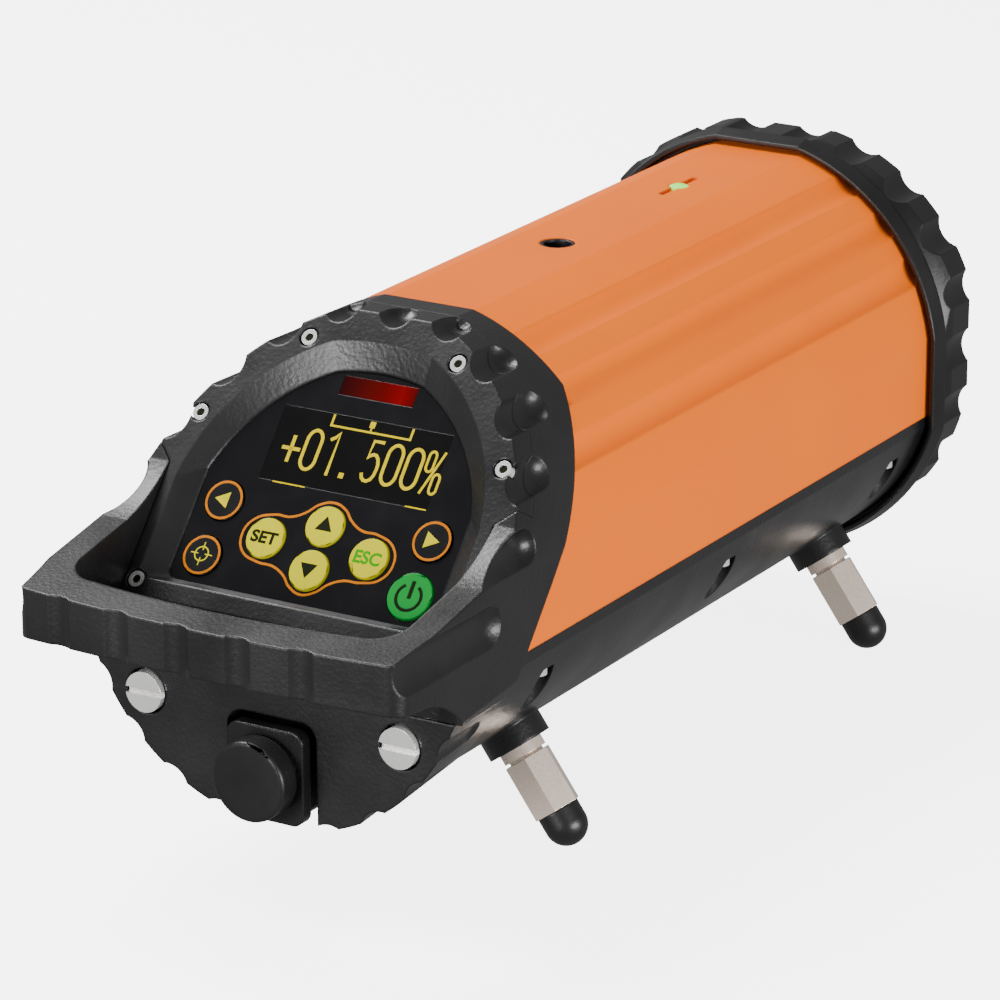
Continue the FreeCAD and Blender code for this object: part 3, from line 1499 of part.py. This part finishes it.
for x, z in bumper_screw_places:
    screw = fuse("bumper_screw", [
        cylinder("bumper_screw_head", 2.9, 3, x, tail - 5.0, z, "y"),
        cylinder("bumper_screw_shank", screw_hole, 5 + tail - 5.0 - plate_to, x, plate_to - 5, z, "y"),
    ])
    bumper_screws.append(cut("bumper_screw_cut", screw, [
        cylinder("bumper_screw_socket", 1.4, 5, x, tail - 5.0 + 1.4, z, "y")]))
piece("bumper_screws", gather("bumper_screws", bumper_screws))

# Legs

inserts = []
for name, (side, y) in LEGS.items():
    collar_from = cell("boss_end")
    collar_to = collar_from + cell("collar_length")
    hex_from = collar_to + cell("groove_length")
    inserts.append(cut("leg_insert", leg_cylinder("leg_insert_body", side, y, cell("insert_radius"),
                                                  cell("insert_start"), collar_from), [
        leg_cylinder("leg_insert_bore", side, y, cell("stud_radius") + cell("fit_gap"),
                     cell("insert_start") - 1, collar_from + 1)]))
    hexagon = doc.addObject("Part::Prism", fresh("leg_hexagon"))
    hexagon.Polygon = 6
    bind(hexagon, "Circumradius", cell("hex_flats") / root(as_size(3)))
    bind(hexagon, "Height", cell("hex_end") - hex_from)
    hexagon.Placement = Placement(Vector(0, 0, 0), Rotation(Vector(0, side, 0), 144))
    bind(hexagon, "Placement.Rotation.Angle", 180 - cell("leg_angle"))
    bind(hexagon, "Placement.Base.x", hex_from * sine(cell("leg_angle")) * side)
    bind(hexagon, "Placement.Base.y", y)
    bind(hexagon, "Placement.Base.z", axis_height - hex_from * cosine(cell("leg_angle")))
    piece("leg_" + name, fuse("leg_" + name, [
        leg_cylinder("leg_thread", side, y, cell("stud_radius"), cell("insert_start") + 1.5, collar_from + 1),
        leg_cylinder("leg_collar", side, y, cell("collar_radius"), collar_from, collar_to),
        leg_cylinder("leg_groove", side, y, cell("groove_radius"), collar_to - 1, hex_from + 1),
        hexagon,
        leg_cylinder("leg_pin", side, y, cell("foot_pin_radius"), cell("hex_end") - 1,
                     cell("hex_end") + cell("foot_pin_length")),
    ]))
    ball_at = cell("pipe_radius") - cell("foot_radius")
    foot_solid = fuse("foot_solid", [
        leg_cylinder("foot_barrel", side, y, cell("foot_radius"), cell("hex_end"), ball_at),
        ball("foot_dome", cell("foot_radius"), ball_at * sine(cell("leg_angle")) * side, y,
             -ball_at * cosine(cell("leg_angle"))),
    ])
    piece("foot_" + name, cut("foot_" + name, foot_solid, [
        leg_cylinder("foot_face", side, y, cell("foot_radius") + 1, cell("hex_end") - 5, cell("hex_end")),
        leg_cylinder("foot_socket", side, y, cell("foot_pin_radius"), cell("hex_end") - 10,
                     cell("hex_end") + cell("foot_pin_length"))]))
piece("leg_inserts", gather("leg_inserts", inserts))

# Check and write

doc.recompute()
failed = [item.Label for item in doc.Objects
          if "Invalid" in item.State or "Error" in item.State]
if failed:
    raise RuntimeError("objects failed: " + ", ".join(failed))
for label, target in pieces.items():
    if target.Shape.isNull() or not target.Shape.isValid() or target.Shape.Volume < 0.1:
        raise RuntimeError("bad shape: " + label)
os.makedirs("parts", exist_ok=True)
for label, target in pieces.items():
    target.Shape.exportStep("parts/" + label + ".step")
    print("%-20s solids %d volume %.0f mm3" % (label, len(target.Shape.Solids), target.Shape.Volume))
print("nodes", len(pieces))
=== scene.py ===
import json
import math

import bpy
from mathutils import Matrix, Vector


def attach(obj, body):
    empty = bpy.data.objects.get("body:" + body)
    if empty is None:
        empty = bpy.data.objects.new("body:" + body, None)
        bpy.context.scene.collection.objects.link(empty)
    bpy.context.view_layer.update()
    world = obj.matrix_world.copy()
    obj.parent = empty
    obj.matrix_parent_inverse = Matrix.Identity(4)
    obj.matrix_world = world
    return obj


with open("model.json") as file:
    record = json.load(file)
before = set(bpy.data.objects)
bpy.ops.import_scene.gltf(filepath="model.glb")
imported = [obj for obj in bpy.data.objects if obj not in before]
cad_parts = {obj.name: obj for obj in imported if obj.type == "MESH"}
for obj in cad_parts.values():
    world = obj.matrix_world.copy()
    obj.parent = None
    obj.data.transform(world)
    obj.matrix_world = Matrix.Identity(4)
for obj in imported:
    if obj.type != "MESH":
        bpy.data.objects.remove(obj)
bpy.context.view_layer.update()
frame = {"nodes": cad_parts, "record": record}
nodes = frame["nodes"]

# The tube's axis and the foot of the slanted panel, in metres

AXIS = 0.082095
PANEL_Y = -0.0895
PANEL_RISE = 0.0347
TILT = math.radians(40)
PANEL_TURN = Matrix.Rotation(math.pi / 2 - TILT, 4, "X")
MILLIMETRES = Matrix.Scale(0.001, 4)

# Camera: angles in degrees, focal length and frame in pixels, distance in metres,
# and the pixel where the panel's middle lies

AZIMUTH, ELEVATION, ROLL = 31.15, 18.90, 0.146
FOCAL = 5120.0
FRAME = 1000
DISTANCE = 1.40175
PANEL_PIXEL = (349, 439)
SENSOR = 36

# On the panel, in millimetres: depths below its face, and places across and up it

MEMBRANE_DEPTH = 4.5
KEY_DEPTH = 3.9
SOCKET_DEPTH = 1.0
INK = 0.03
SHADE_DISC_THICK = 0.4
DIGIT_LOW, DIGIT_HIGH = -10.0, 3.0
DIGIT_STROKE = 1.05
PERCENT_STROKE = 0.8
KEY_RING = 5.45
KEY_STROKE = 0.75
SCREW_PLACES = ((24.2, 27.4), (49.2, 0.0), (49.2, -51.2))
SCREW_SOCKET = 1.22
KEYS = {
    "left": (-33.8, -22.8),
    "right": (33.8, -22.8),
    "spot": (-34.2, -39.6),
    "power": (33.2, -39.2),
    "set": (-16.8, -31.1),
    "escape": (16.8, -31.1),
    "up": (0.0, -24.5),
    "down": (0.0, -37.7),
}


def on_panel(x, rise, depth=0.0):
    """Point on the slanted panel: millimetres right, up the slope, and inwards."""
    x, rise, depth = x / 1000, rise / 1000, depth / 1000
    return Vector((x, PANEL_Y + rise * math.sin(TILT) + depth * math.cos(TILT),
                   AXIS + PANEL_RISE + rise * math.cos(TILT) - depth * math.sin(TILT)))


def aim_camera():
    azimuth, elevation, roll = (math.radians(a) for a in (AZIMUTH, ELEVATION, ROLL))
    right = Vector((math.cos(azimuth), math.sin(azimuth), 0))
    ahead = Vector((-math.sin(azimuth) * math.cos(elevation),
                    math.cos(azimuth) * math.cos(elevation), -math.sin(elevation)))
    up = right.cross(ahead)
    across = (PANEL_PIXEL[0] - FRAME / 2) * DISTANCE / FOCAL
    above = (FRAME / 2 - PANEL_PIXEL[1]) * DISTANCE / FOCAL
    place = on_panel(0, 0) - (right * across + up * above + ahead * DISTANCE)
    turned_right = right * math.cos(roll) - up * math.sin(roll)
    turned_up = right * math.sin(roll) + up * math.cos(roll)
    camera = bpy.data.objects.new("camera", bpy.data.cameras.new("camera"))
    bpy.context.collection.objects.link(camera)
    camera.data.sensor_width = SENSOR
    camera.data.lens = FOCAL / FRAME * SENSOR
    camera.data.clip_start = 0.1
    camera.data.clip_end = 20
    camera.matrix_world = Matrix((
        (turned_right.x, turned_up.x, -ahead.x, place.x),
        (turned_right.y, turned_up.y, -ahead.y, place.y),
        (turned_right.z, turned_up.z, -ahead.z, place.z),
        (0, 0, 0, 1)))
    bpy.context.scene.camera = camera


# Materials

class Wire:
    """A value in a shader; arithmetic on it adds Math nodes."""

    def __init__(self, finish, socket):
        self.finish = finish
        self.socket = socket

    def math(self, operation, first, second):
        return self.finish.node("ShaderNodeMath", {"operation": operation}, {0: first, 1: second})

    def __add__(self, other):
        return self.math("ADD", self, other)

    __radd__ = __add__

    def __mul__(self, other):
        return self.math("MULTIPLY", self, other)

    __rmul__ = __mul__


def dimmed(colour, share):
    return tuple(c * share for c in colour)


class Finish:
    """One procedural material."""

    def __init__(self, name, colour, roughness, specular=0.5, metallic=0.0):
        self.material = bpy.data.materials.new(name)
        self.material.use_nodes = True
        self.tree = self.material.node_tree
        self.shader = self.tree.nodes["Principled BSDF"]
        self.set("Base Color", colour)
        self.set("Roughness", roughness)
        self.set("Specular IOR Level", specular)
        self.set("Metallic", metallic)

    def set(self, socket, value):
        self.feed(self.shader.inputs[socket], value)

    def feed(self, target, value):
        if isinstance(value, Wire):
            self.tree.links.new(value.socket, target)
        elif isinstance(value, tuple) and target.type == "RGBA":
            target.default_value = (*value, 1)
        else:
            target.default_value = value

    def node(self, kind, settings=None, inputs=None, output=0):
        made = self.tree.nodes.new(kind)
        for key, value in (settings or {}).items():
            if key == "stops":
                ramp = made.color_ramp
                while len(ramp.elements) > 1:
                    ramp.elements.remove(ramp.elements[0])
                for index, (place, colour) in enumerate(value):
                    stop = ramp.elements[0] if index == 0 else ramp.elements.new(place)
                    stop.position = place
                    stop.color = (*colour, 1)
            else:
                setattr(made, key, value)
        for key, value in (inputs or {}).items():
            self.feed(made.inputs[key], value)
        return Wire(self, made.outputs[output])

    def place(self):
        return self.node("ShaderNodeTexCoord", output="Object")

    def noise(self, scale, detail=2.0):
        return self.node("ShaderNodeTexNoise",
                         inputs={"Vector": self.place(), "Scale": scale, "Detail": detail})

    def cells(self, scale):
        return self.node("ShaderNodeTexVoronoi", {"feature": "SMOOTH_F1"},
                         {"Vector": self.place(), "Scale": scale, "Smoothness": 0.6})

    def ramp(self, value, *stops):
        return self.node("ShaderNodeValToRGB", {"stops": stops}, {"Fac": value})

    def span(self, value, low, high, new_low, new_high):
        return self.node("ShaderNodeMapRange", inputs={
            "Value": value, "From Min": low, "From Max": high,
            "To Min": new_low, "To Max": new_high})

    def rounded(self, radius):
        return self.node("ShaderNodeBevel", {"samples": 6}, {"Radius": radius})

    def bump(self, height, strength, distance, under):
        return self.node("ShaderNodeBump", inputs={
            "Height": height, "Strength": strength, "Distance": distance, "Normal": under})


def powder_coat(name, colour, deeper):
    """Smooth baked coating with a faint orange peel."""
    finish = Finish(name, colour, 0.4, specular=0.16)
    broad = finish.noise(18, 3)
    peel = finish.noise(650, 2)
    finish.set("Base Color", finish.ramp(broad, (0.3, deeper), (0.7, colour)))
    finish.set("Roughness", finish.span(broad, 0.3, 0.7, 0.38, 0.48))
    finish.set("Normal", finish.bump(peel, 0.12, 0.0001, finish.rounded(0.0012)))
    return finish.material


def moulding(name, colour, lighter, roughness, grain, depth, edge, specular=0.35):
    """Spark-eroded plastic: fine grain, uneven sheen, soft edges."""
    finish = Finish(name, colour, roughness, specular=specular)
    broad = finish.noise(40, 4)
    skin = finish.cells(grain)
    dust = finish.noise(grain * 2.2, 2)
    finish.set("Base Color", finish.ramp(broad, (0.35, colour), (0.75, lighter)))
    finish.set("Roughness", finish.span(broad, 0.3, 0.7, roughness - 0.06, roughness + 0.08))
    finish.set("Normal", finish.bump(skin * 0.7 + dust * 0.5, 0.5, depth, finish.rounded(edge)))
    return finish.material


def sheet_gloss(name, colour, roughness, specular=0.5, edge=0.0003):
    """Glossy film or glass with faint handling marks."""
    finish = Finish(name, colour, roughness, specular=specular)
    marks = finish.noise(90, 4)
    finish.set("Roughness", finish.span(marks, 0.35, 0.75, roughness, roughness + 0.08))
    finish.set("Normal", finish.bump(finish.noise(30, 2), 0.02, 0.0005, finish.rounded(edge)))
    return finish.material


def turned_metal(name, colour, darker, roughness, edge=0.0002):
    """Plated or polished metal with fine tool marks."""
    finish = Finish(name, colour, roughness, metallic=0.6)
    marks = finish.noise(900, 2)
    haze = finish.noise(70, 3)
    finish.set("Base Color", finish.ramp(haze, (0.35, darker), (0.65, colour)))
    finish.set("Roughness", finish.span(marks, 0.3, 0.7, roughness - 0.02, roughness + 0.03))
    finish.set("Normal", finish.rounded(edge))
    return finish.material


def lamp_and_painted_glow(name, colour, glow, strength, roughness=0.4):
    """Plastic with a slightly uneven glow: a painted glow that brightens the yellow and green
    keys, and the real light of the green lamp.
    """
    finish = Finish(name, colour, roughness, specular=0.1)
    patch = finish.noise(120, 2)
    finish.set("Emission Color", finish.ramp(patch, (0.3, dimmed(glow, 0.8)), (0.7, glow)))
    finish.set("Emission Strength", strength)
    finish.set("Normal", finish.rounded(0.0004))
    return finish.material


def printed(name, colour, glow=0.0):
    """Ink line that glows where glow is above zero: a painted glow on the orange and yellow inks,
    the display's own light on its reading.
    """
    finish = Finish(name, colour, 0.5, specular=0.05)
    wear = finish.noise(400, 2)
    worn = finish.ramp(wear, (0.3, dimmed(colour, 0.85)), (0.6, colour))
    finish.set("Base Color", worn)
    if glow:
        finish.set("Emission Color", worn)
        finish.set("Emission Strength", glow)
    return finish.material


def red_window(name):
    """Dark red filter, lighter right of its middle where the receiver sits behind it."""
    finish = Finish(name, (0.05, 0.0, 0.0), 0.2, specular=0.15)
    across = finish.node("ShaderNodeSeparateXYZ", inputs={0: finish.place()})
    patch = finish.noise(200, 2)
    where = finish.span(across, -0.012, 0.015, 0.0, 1.0) + patch * 0.1
    finish.set("Base Color", finish.ramp(
        where, (0.1, (0.02, 0.0, 0.0)), (0.6, (0.09, 0.0, 0.0)),
        (0.8, (0.16, 0.0, 0.0)), (1.0, (0.05, 0.0, 0.0))))
    finish.set("Normal", finish.rounded(0.0003))
    return finish.material


def clear_glass(name, tint):
    """Lens and window glass."""
    finish = Finish(name, tint, 0.03)
    finish.set("Transmission Weight", 0.9)
    finish.set("Roughness", finish.span(finish.noise(60, 2), 0.3, 0.7, 0.02, 0.06))
    return finish.material


MATERIALS = {
    "orange_paint": powder_coat("orange_paint", (1.0, 0.19, 0.0), (0.98, 0.17, 0.0)),
    "black_moulding": moulding("black_moulding", (0.007, 0.007, 0.008), (0.011, 0.011, 0.012),
                               0.35, 800, 0.00015, 0.0009, specular=0.5),
    "black_gloss": sheet_gloss("black_gloss", (0.004, 0.004, 0.005), 0.2, specular=0.25),
    "display_glass": sheet_gloss("display_glass", (0.003, 0.003, 0.003), 0.16, specular=0.2),
    "red_filter": red_window("red_filter"),
    # Painted glow: the yellow and green keys glow a little to brighten their colour; the green
    # lamp below glows with its own light.
    "key_yellow": lamp_and_painted_glow("key_yellow", (0.45, 0.41, 0.0), (0.8, 0.74, 0.0), 0.25),
    "key_green": lamp_and_painted_glow("key_green", (0.0, 0.22, 0.03), (0.0, 0.5, 0.05), 0.1),
    "key_black": sheet_gloss("key_black", (0.005, 0.005, 0.006), 0.22,
                             specular=0.35, edge=0.0012),
    "stainless": turned_metal("stainless", (0.95, 0.94, 0.92), (0.88, 0.87, 0.85), 0.24),
    "nickel": turned_metal("nickel", (0.95, 0.80, 0.68), (0.88, 0.73, 0.61), 0.28),
    "brass": turned_metal("brass", (0.75, 0.5, 0.2), (0.6, 0.4, 0.16), 0.3),
    "aluminium": turned_metal("aluminium", (0.62, 0.62, 0.64), (0.5, 0.5, 0.52), 0.35),
    "black_rubber": moulding("black_rubber", (0.006, 0.006, 0.006), (0.010, 0.010, 0.010),
                             0.36, 1100, 0.00006, 0.0009, specular=0.45),
    "silicone": moulding("silicone", (0.35, 0.35, 0.35), (0.42, 0.42, 0.42),
                         0.5, 700, 0.00005, 0.0003),
    "board_green": sheet_gloss("board_green", (0.015, 0.12, 0.04), 0.3),
    "optic_glass": clear_glass("optic_glass", (0.7, 0.8, 0.85)),
    "cell_wrap": sheet_gloss("cell_wrap", (0.05, 0.15, 0.5), 0.3),
    "grey_plastic": moulding("grey_plastic", (0.16, 0.16, 0.17), (0.22, 0.22, 0.23),
                             0.5, 900, 0.00008, 0.0004),
    "lamp_green": lamp_and_painted_glow("lamp_green", (0.2, 0.6, 0.1), (0.35, 1.0, 0.1), 1.1),
}
# Painted glow: the orange and yellow inks glow a little to brighten them; the display ink's glow
# is the display's own light.
ORANGE_INK_WITH_PAINTED_GLOW = printed("orange_ink_with_painted_glow", (0.55, 0.16, 0.0), 0.05)
YELLOW_INK_WITH_PAINTED_GLOW = printed("yellow_ink_with_painted_glow", (0.5, 0.44, 0.0), 0.4)
# The black ink colour also serves as painted shade: the dark discs in the bezel screws' hexagon
# recesses.
BLACK_INK_AND_SOCKET_SHADE = printed("black_ink_and_socket_shade", (0.01, 0.012, 0.004))
GREEN_INK = printed("green_ink", (0.03, 0.32, 0.0))
DISPLAY_INK = printed("display_ink", (0.5, 0.38, 0.0), 0.5)

slot_of = {entry["node"]: entry["material_slot"] for entry in frame["record"]["subparts"]}
for name, item in nodes.items():
    item.data.materials.clear()
    item.data.materials.append(MATERIALS[slot_of[name]])


# Softened edges on the solids whose outline shows them

CAP_EDGE = 0.0009
KEY_EDGE = 0.0003


def round_edges():
    widths = {"dust_cap": CAP_EDGE, **{"key_" + key: KEY_EDGE for key in KEYS}}
    for name, width in widths.items():
        weld = nodes[name].modifiers.new("weld", "WELD")
        weld.merge_threshold = 0.00001
        bevel = nodes[name].modifiers.new("soft_edges", "BEVEL")
        bevel.width = width
        bevel.segments = 3
        bevel.limit_method = "ANGLE"
        bevel.angle_limit = math.radians(35)
        bevel.use_clamp_overlap = False
        even = nodes[name].modifiers.new("even_shading", "WEIGHTED_NORMAL")
        even.keep_sharp = False


# Printed legends, the orange and yellow ones with a painted glow, and the display's glowing
# reading, drawn flat in panel millimetres and laid on their surface

def deselect():
    bpy.ops.object.select_all(action="DESELECT")


def flat_mark(name, corners, thick=INK):
    """Filled outline with straight sides, corners in millimetres."""
    deselect()
    bpy.ops.mesh.primitive_circle_add(vertices=len(corners), radius=1, fill_type="NGON")
    mark = bpy.context.object
    for vertex, (x, y) in zip(mark.data.vertices, corners):
        vertex.co = (x, y, 0)
    bpy.ops.object.mode_set(mode="EDIT")
    bpy.ops.mesh.select_all(action="SELECT")
    bpy.ops.mesh.normals_make_consistent(inside=False)
    bpy.ops.mesh.extrude_region_move(TRANSFORM_OT_translate={"value": (0, 0, thick)})
    bpy.ops.mesh.select_all(action="SELECT")
    bpy.ops.mesh.normals_make_consistent(inside=False)
    bpy.ops.object.mode_set(mode="OBJECT")
    mark.name = name
    return mark


def bar(name, x_from, x_to, y_from, y_to):
    return flat_mark(name, [(x_from, y_from), (x_to, y_from), (x_to, y_to), (x_from, y_to)])


def line_mark(name, points, width, closed=False, smooth=False):
    """Printed line along points, with a low rounded section."""
    deselect()
    curve = bpy.data.curves.new(name, "CURVE")
    curve.dimensions = "3D"
    curve.bevel_depth = width / 2
    curve.bevel_resolution = 3
    curve.resolution_u = 12
    spline = curve.splines.new("BEZIER" if smooth else "POLY")
    if smooth:
        spline.bezier_points.add(len(points) - 1)
        for bend, (x, y) in zip(spline.bezier_points, points):
            bend.co = (x, y, 0)
            bend.handle_left_type = bend.handle_right_type = "AUTO"
    else:
        spline.points.add(len(points) - 1)
        for corner, (x, y) in zip(spline.points, points):
            corner.co = (x, y, 0, 1)
    spline.use_cyclic_u = closed
    curve.use_fill_caps = not closed
    mark = bpy.data.objects.new(name, curve)
    bpy.context.collection.objects.link(mark)
    mark.select_set(True)
    bpy.context.view_layer.objects.active = mark
    bpy.ops.object.convert(target="MESH")
    mark = bpy.context.object
    mark.data.transform(Matrix.Diagonal((1, 1, INK * 2 / width, 1)))
    return mark


def ring_points(x, y, radius, start, end, count=40):
    """Points round a circle, angles in degrees anticlockwise from the right."""
    step = math.radians(end - start) / count
    return [(x + radius * math.cos(math.radians(start) + step * k),
             y + radius * math.sin(math.radians(start) + step * k)) for k in range(count + 1)]


def ring(name, x, y, radius, width):
    return line_mark(name, ring_points(x, y, radius, 0, 354, 59), width, closed=True)


def zero(x_from, x_to, y_from, y_to, width):
    """Narrow nought: half rounds joined by straight sides."""
    half, middle = (x_to - x_from) / 2, (x_from + x_to) / 2
    bow = half * 1.35
    points = []
    for k in range(49):
        turn = math.tau * k / 48
        lift = (y_to - bow) if math.sin(turn) >= 0 else (y_from + bow)
        points.append((middle + half * math.cos(turn), lift + bow * math.sin(turn)))
    return line_mark("nought", points[:-1], width, closed=True)


def five(x_from, x_to, y_from, y_to, width):
    """Figure five: top bar, short stem and bowl."""
    wide, high = x_to - x_from, y_to - y_from
    shape = [(0.93, 1.0), (0.14, 1.0), (0.06, 0.56), (0.2, 0.63), (0.42, 0.67), (0.64, 0.66),
             (0.85, 0.58), (0.98, 0.45), (1.0, 0.32), (0.95, 0.17), (0.8, 0.05), (0.55, 0.0),
             (0.3, 0.01), (0.12, 0.07), (0.0, 0.18)]
    points = [(x_from + x * wide, y_from + y * high) for x, y in shape]
    return line_mark("five", points, width)


def letters(name, words, x_from, x_to, y_from, y_to, weight):
    """Letters stretched to fill a box on the panel."""
    deselect()
    bpy.ops.object.text_add()
    text = bpy.context.object
    text.data.body = words
    text.data.size = 10
    text.data.extrude = INK
    text.data.offset = weight
    bpy.ops.object.convert(target="MESH")
    mark = bpy.context.object
    mark.name = name
    xs = [v.co.x for v in mark.data.vertices]
    ys = [v.co.y for v in mark.data.vertices]
    across = (x_to - x_from) / (max(xs) - min(xs))
    up = (y_to - y_from) / (max(ys) - min(ys))
    mark.data.transform(Matrix.Translation((x_from, y_from, 0))
                        @ Matrix.Diagonal((across, up, 1, 1))
                        @ Matrix.Translation((-min(xs), -min(ys), 0)))
    return mark


def paint(mark, material):
    mark.data.materials.clear()
    mark.data.materials.append(material)
    return mark


def lay(name, marks, body, depth):
    """Joins marks to one piece on the panel that rides on a body."""
    deselect()
    for mark in marks:
        mark.select_set(True)
    bpy.context.view_layer.objects.active = marks[0]
    if len(marks) > 1:
        bpy.ops.object.join()
    piece = bpy.context.object
    piece.name = name
    piece.data.name = name
    piece.data.transform(Matrix.Translation(on_panel(0, 0, depth)) @ PANEL_TURN @ MILLIMETRES)
    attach(piece, body)
    return piece


def key_legend(key, marks):
    return lay("legend_" + key, marks, "key_%s_cap" % key, KEY_DEPTH)


def arrow(name, key, corners, material):
    """Triangle with its corners measured from the middle of a key."""
    x, y = KEYS[key]
    return paint(flat_mark(name, [(x + right, y + up) for right, up in corners]), material)


def key_ring(name, key):
    return paint(ring(name, *KEYS[key], KEY_RING, KEY_STROKE), ORANGE_INK_WITH_PAINTED_GLOW)


def spot_sight(inner=1.1, outer=3.5):
    """Circle with four ticks, a little left of and above the key's middle."""
    x, y = KEYS["spot"][0] - 0.2, KEYS["spot"][1] + 0.3
    marks = [paint(ring("spot_circle", x, y, 2.1, 0.4), YELLOW_INK_WITH_PAINTED_GLOW)]
    for angle in (0, 90, 180, 270):
        c, s = math.cos(math.radians(angle)), math.sin(math.radians(angle))
        ends = [(x + reach * c, y + reach * s) for reach in (inner, outer)]
        marks.append(paint(line_mark("spot_tick", ends, 0.35), YELLOW_INK_WITH_PAINTED_GLOW))
    return marks


def mark_keys():
    key_legend("left", [
        key_ring("left_ring", "left"),
        arrow("left_arrow", "left", [(-3.0, 0.2), (1.4, -2.3), (1.4, 2.6)], YELLOW_INK_WITH_PAINTED_GLOW),
    ])
    key_legend("right", [
        key_ring("right_ring", "right"),
        arrow("right_arrow", "right", [(2.4, 0.1), (-2.1, 2.6), (-2.1, -2.3)], YELLOW_INK_WITH_PAINTED_GLOW),
    ])
    key_legend("spot", [key_ring("spot_ring", "spot"), *spot_sight()])
    key_legend("up", [
        arrow("up_arrow", "up", [(0, 2.9), (-2.7, -1.4), (2.7, -1.4)], BLACK_INK_AND_SOCKET_SHADE),
    ])
    key_legend("down", [
        arrow("down_arrow", "down", [(-0.3, -2.6), (2.4, 1.8), (-3.0, 1.8)], BLACK_INK_AND_SOCKET_SHADE),
    ])
    key_legend("set", [
        paint(letters("set_word", "SET", -21.2, -12.8, -32.9, -29.2, 0.36), BLACK_INK_AND_SOCKET_SHADE),
    ])
    key_legend("escape", [
        paint(letters("escape_word", "ESC", 12.3, 20.7, -33.0, -29.1, 0.3), GREEN_INK),
    ])
    x, y = KEYS["power"]
    sweep = ring_points(x - 0.2, y - 0.4, 3.8, 122, 418)
    key_legend("power", [
        paint(line_mark("power_arc", sweep, 0.95), BLACK_INK_AND_SOCKET_SHADE),
        paint(line_mark("power_stroke", [(x - 0.1, y + 4.4), (x - 0.1, y - 0.8)], 1.2), BLACK_INK_AND_SOCKET_SHADE),
    ])


def mark_painted_socket_shade():
    """Painted shade: six dark hexagon discs laid on the bezel screws' heads, standing in for the
    shade down in each screw's hexagon recess.
    """
    shade_discs = []
    for x, rise in SCREW_PLACES:
        for side in (-1, 1):
            hexagon = ring_points(side * x, rise, SCREW_SOCKET, 0, 300, 5)
            shade_discs.append(paint(flat_mark("socket", hexagon, SHADE_DISC_THICK), BLACK_INK_AND_SOCKET_SHADE))
    lay("painted_socket_shade", shade_discs, "housing", SOCKET_DEPTH)


# Right half of the line round the middle four keys, from top to bottom

GROUP_HALF = [
    (0.0, -17.3), (4.2, -18.6), (7.5, -21.6), (11.5, -23.6), (16.8, -23.9), (22.6, -26.4),
    (24.6, -31.1), (22.6, -36.0), (16.8, -38.2), (11.5, -38.6), (7.5, -40.4), (4.2, -43.4),
    (0.0, -44.9),
]


def mark_membrane():
    around = GROUP_HALF + [(-x, rise) for x, rise in reversed(GROUP_HALF[1:-1])]
    group = line_mark("group", around, KEY_STROKE, closed=True, smooth=True)
    lay("key_group_line", [paint(group, ORANGE_INK_WITH_PAINTED_GLOW)], "housing", MEMBRANE_DEPTH)
    low, high = DIGIT_LOW, DIGIT_HIGH
    reading = [
        bar("plus_across", -22.5, -16.6, -4.7, -3.6),
        bar("plus_up", -20.1, -19.0, -8.2, -0.2),
        zero(-15.4, -10.8, low + 0.6, high - 0.6, DIGIT_STROKE),
        line_mark("one", [(-8.3, 0.4), (-7.0, 1.3), (-5.9, 2.9), (-5.9, low)], DIGIT_STROKE),
        bar("point", -2.0, -0.4, low, low + 1.6),
        five(4.7, 8.9, low + 0.6, high - 0.6, DIGIT_STROKE),
        zero(10.9, 15.5, low + 0.6, high - 0.6, DIGIT_STROKE),
        zero(17.4, 22.0, low + 0.6, high - 0.6, DIGIT_STROKE),
        zero(23.5, 25.7, -3.4, high - 0.4, PERCENT_STROKE),
        zero(26.8, 29.0, low + 0.4, -3.7, PERCENT_STROKE),
        line_mark("slash", [(24.2, low), (28.2, high)], PERCENT_STROKE),
        bar("scale_line", -10.2, 16.1, 4.3, 4.9),
        bar("scale_left", -10.2, -9.5, 4.9, 7.9),
        bar("scale_right", 15.4, 16.1, 4.9, 7.9),
        bar("marker", 2.0, 3.7, 5.9, 7.8),
        bar("marker_foot", 2.6, 3.1, 4.9, 5.9),
        bar("underline_left", -21.4, -10.9, -14.7, -14.3),
        bar("underline_right", 21.6, 28.3, -14.5, -14.1),
    ]
    lay("display_reading", [paint(mark, DISPLAY_INK) for mark in reading],
        "housing", MEMBRANE_DEPTH)


# Studio

def add_stage():
    deselect()
    bpy.ops.mesh.primitive_plane_add(size=12, location=(0, 0, 0))
    floor = bpy.context.object
    floor.name = "floor"
    finish = Finish("floor", (0.95, 0.95, 0.95), 0.7, specular=0.1)
    finish.set("Emission Color", (1.0, 1.0, 1.0))
    finish.set("Emission Strength", 4.5)
    floor.data.materials.append(finish.material)
    floor.visible_diffuse = False
    floor.visible_glossy = False


def add_light(name, energy, place, target, size):
    lamp = bpy.data.lights.new(name, "AREA")
    lamp.energy = energy
    lamp.shape = "RECTANGLE"
    lamp.size, lamp.size_y = size
    holder = bpy.data.objects.new(name, lamp)
    bpy.context.collection.objects.link(holder)
    holder.location = place
    holder.rotation_euler = (Vector(target) - Vector(place)).to_track_quat("-Z", "Y").to_euler()


def light_studio():
    world = bpy.data.worlds.new("studio")
    bpy.context.scene.world = world
    world.use_nodes = True
    world.node_tree.nodes["Background"].inputs["Color"].default_value = (1, 1, 1, 1)
    world.node_tree.nodes["Background"].inputs["Strength"].default_value = 0.33
    add_light("top_softbox", 36, (-0.95, 0.1, 1.35), (0, 0, 0.08), (0.6, 0.8))
    add_light("side_softbox", 40, (1.8, -0.4, 0.2), (0, 0, 0.08), (1.1, 0.35))
    add_light("front_softbox", 30, (-0.35, -1.7, 0.45), (0, 0, 0.08), (0.8, 0.5))


aim_camera()
round_edges()
mark_keys()
mark_membrane()
mark_painted_socket_shade()
add_stage()
light_studio()
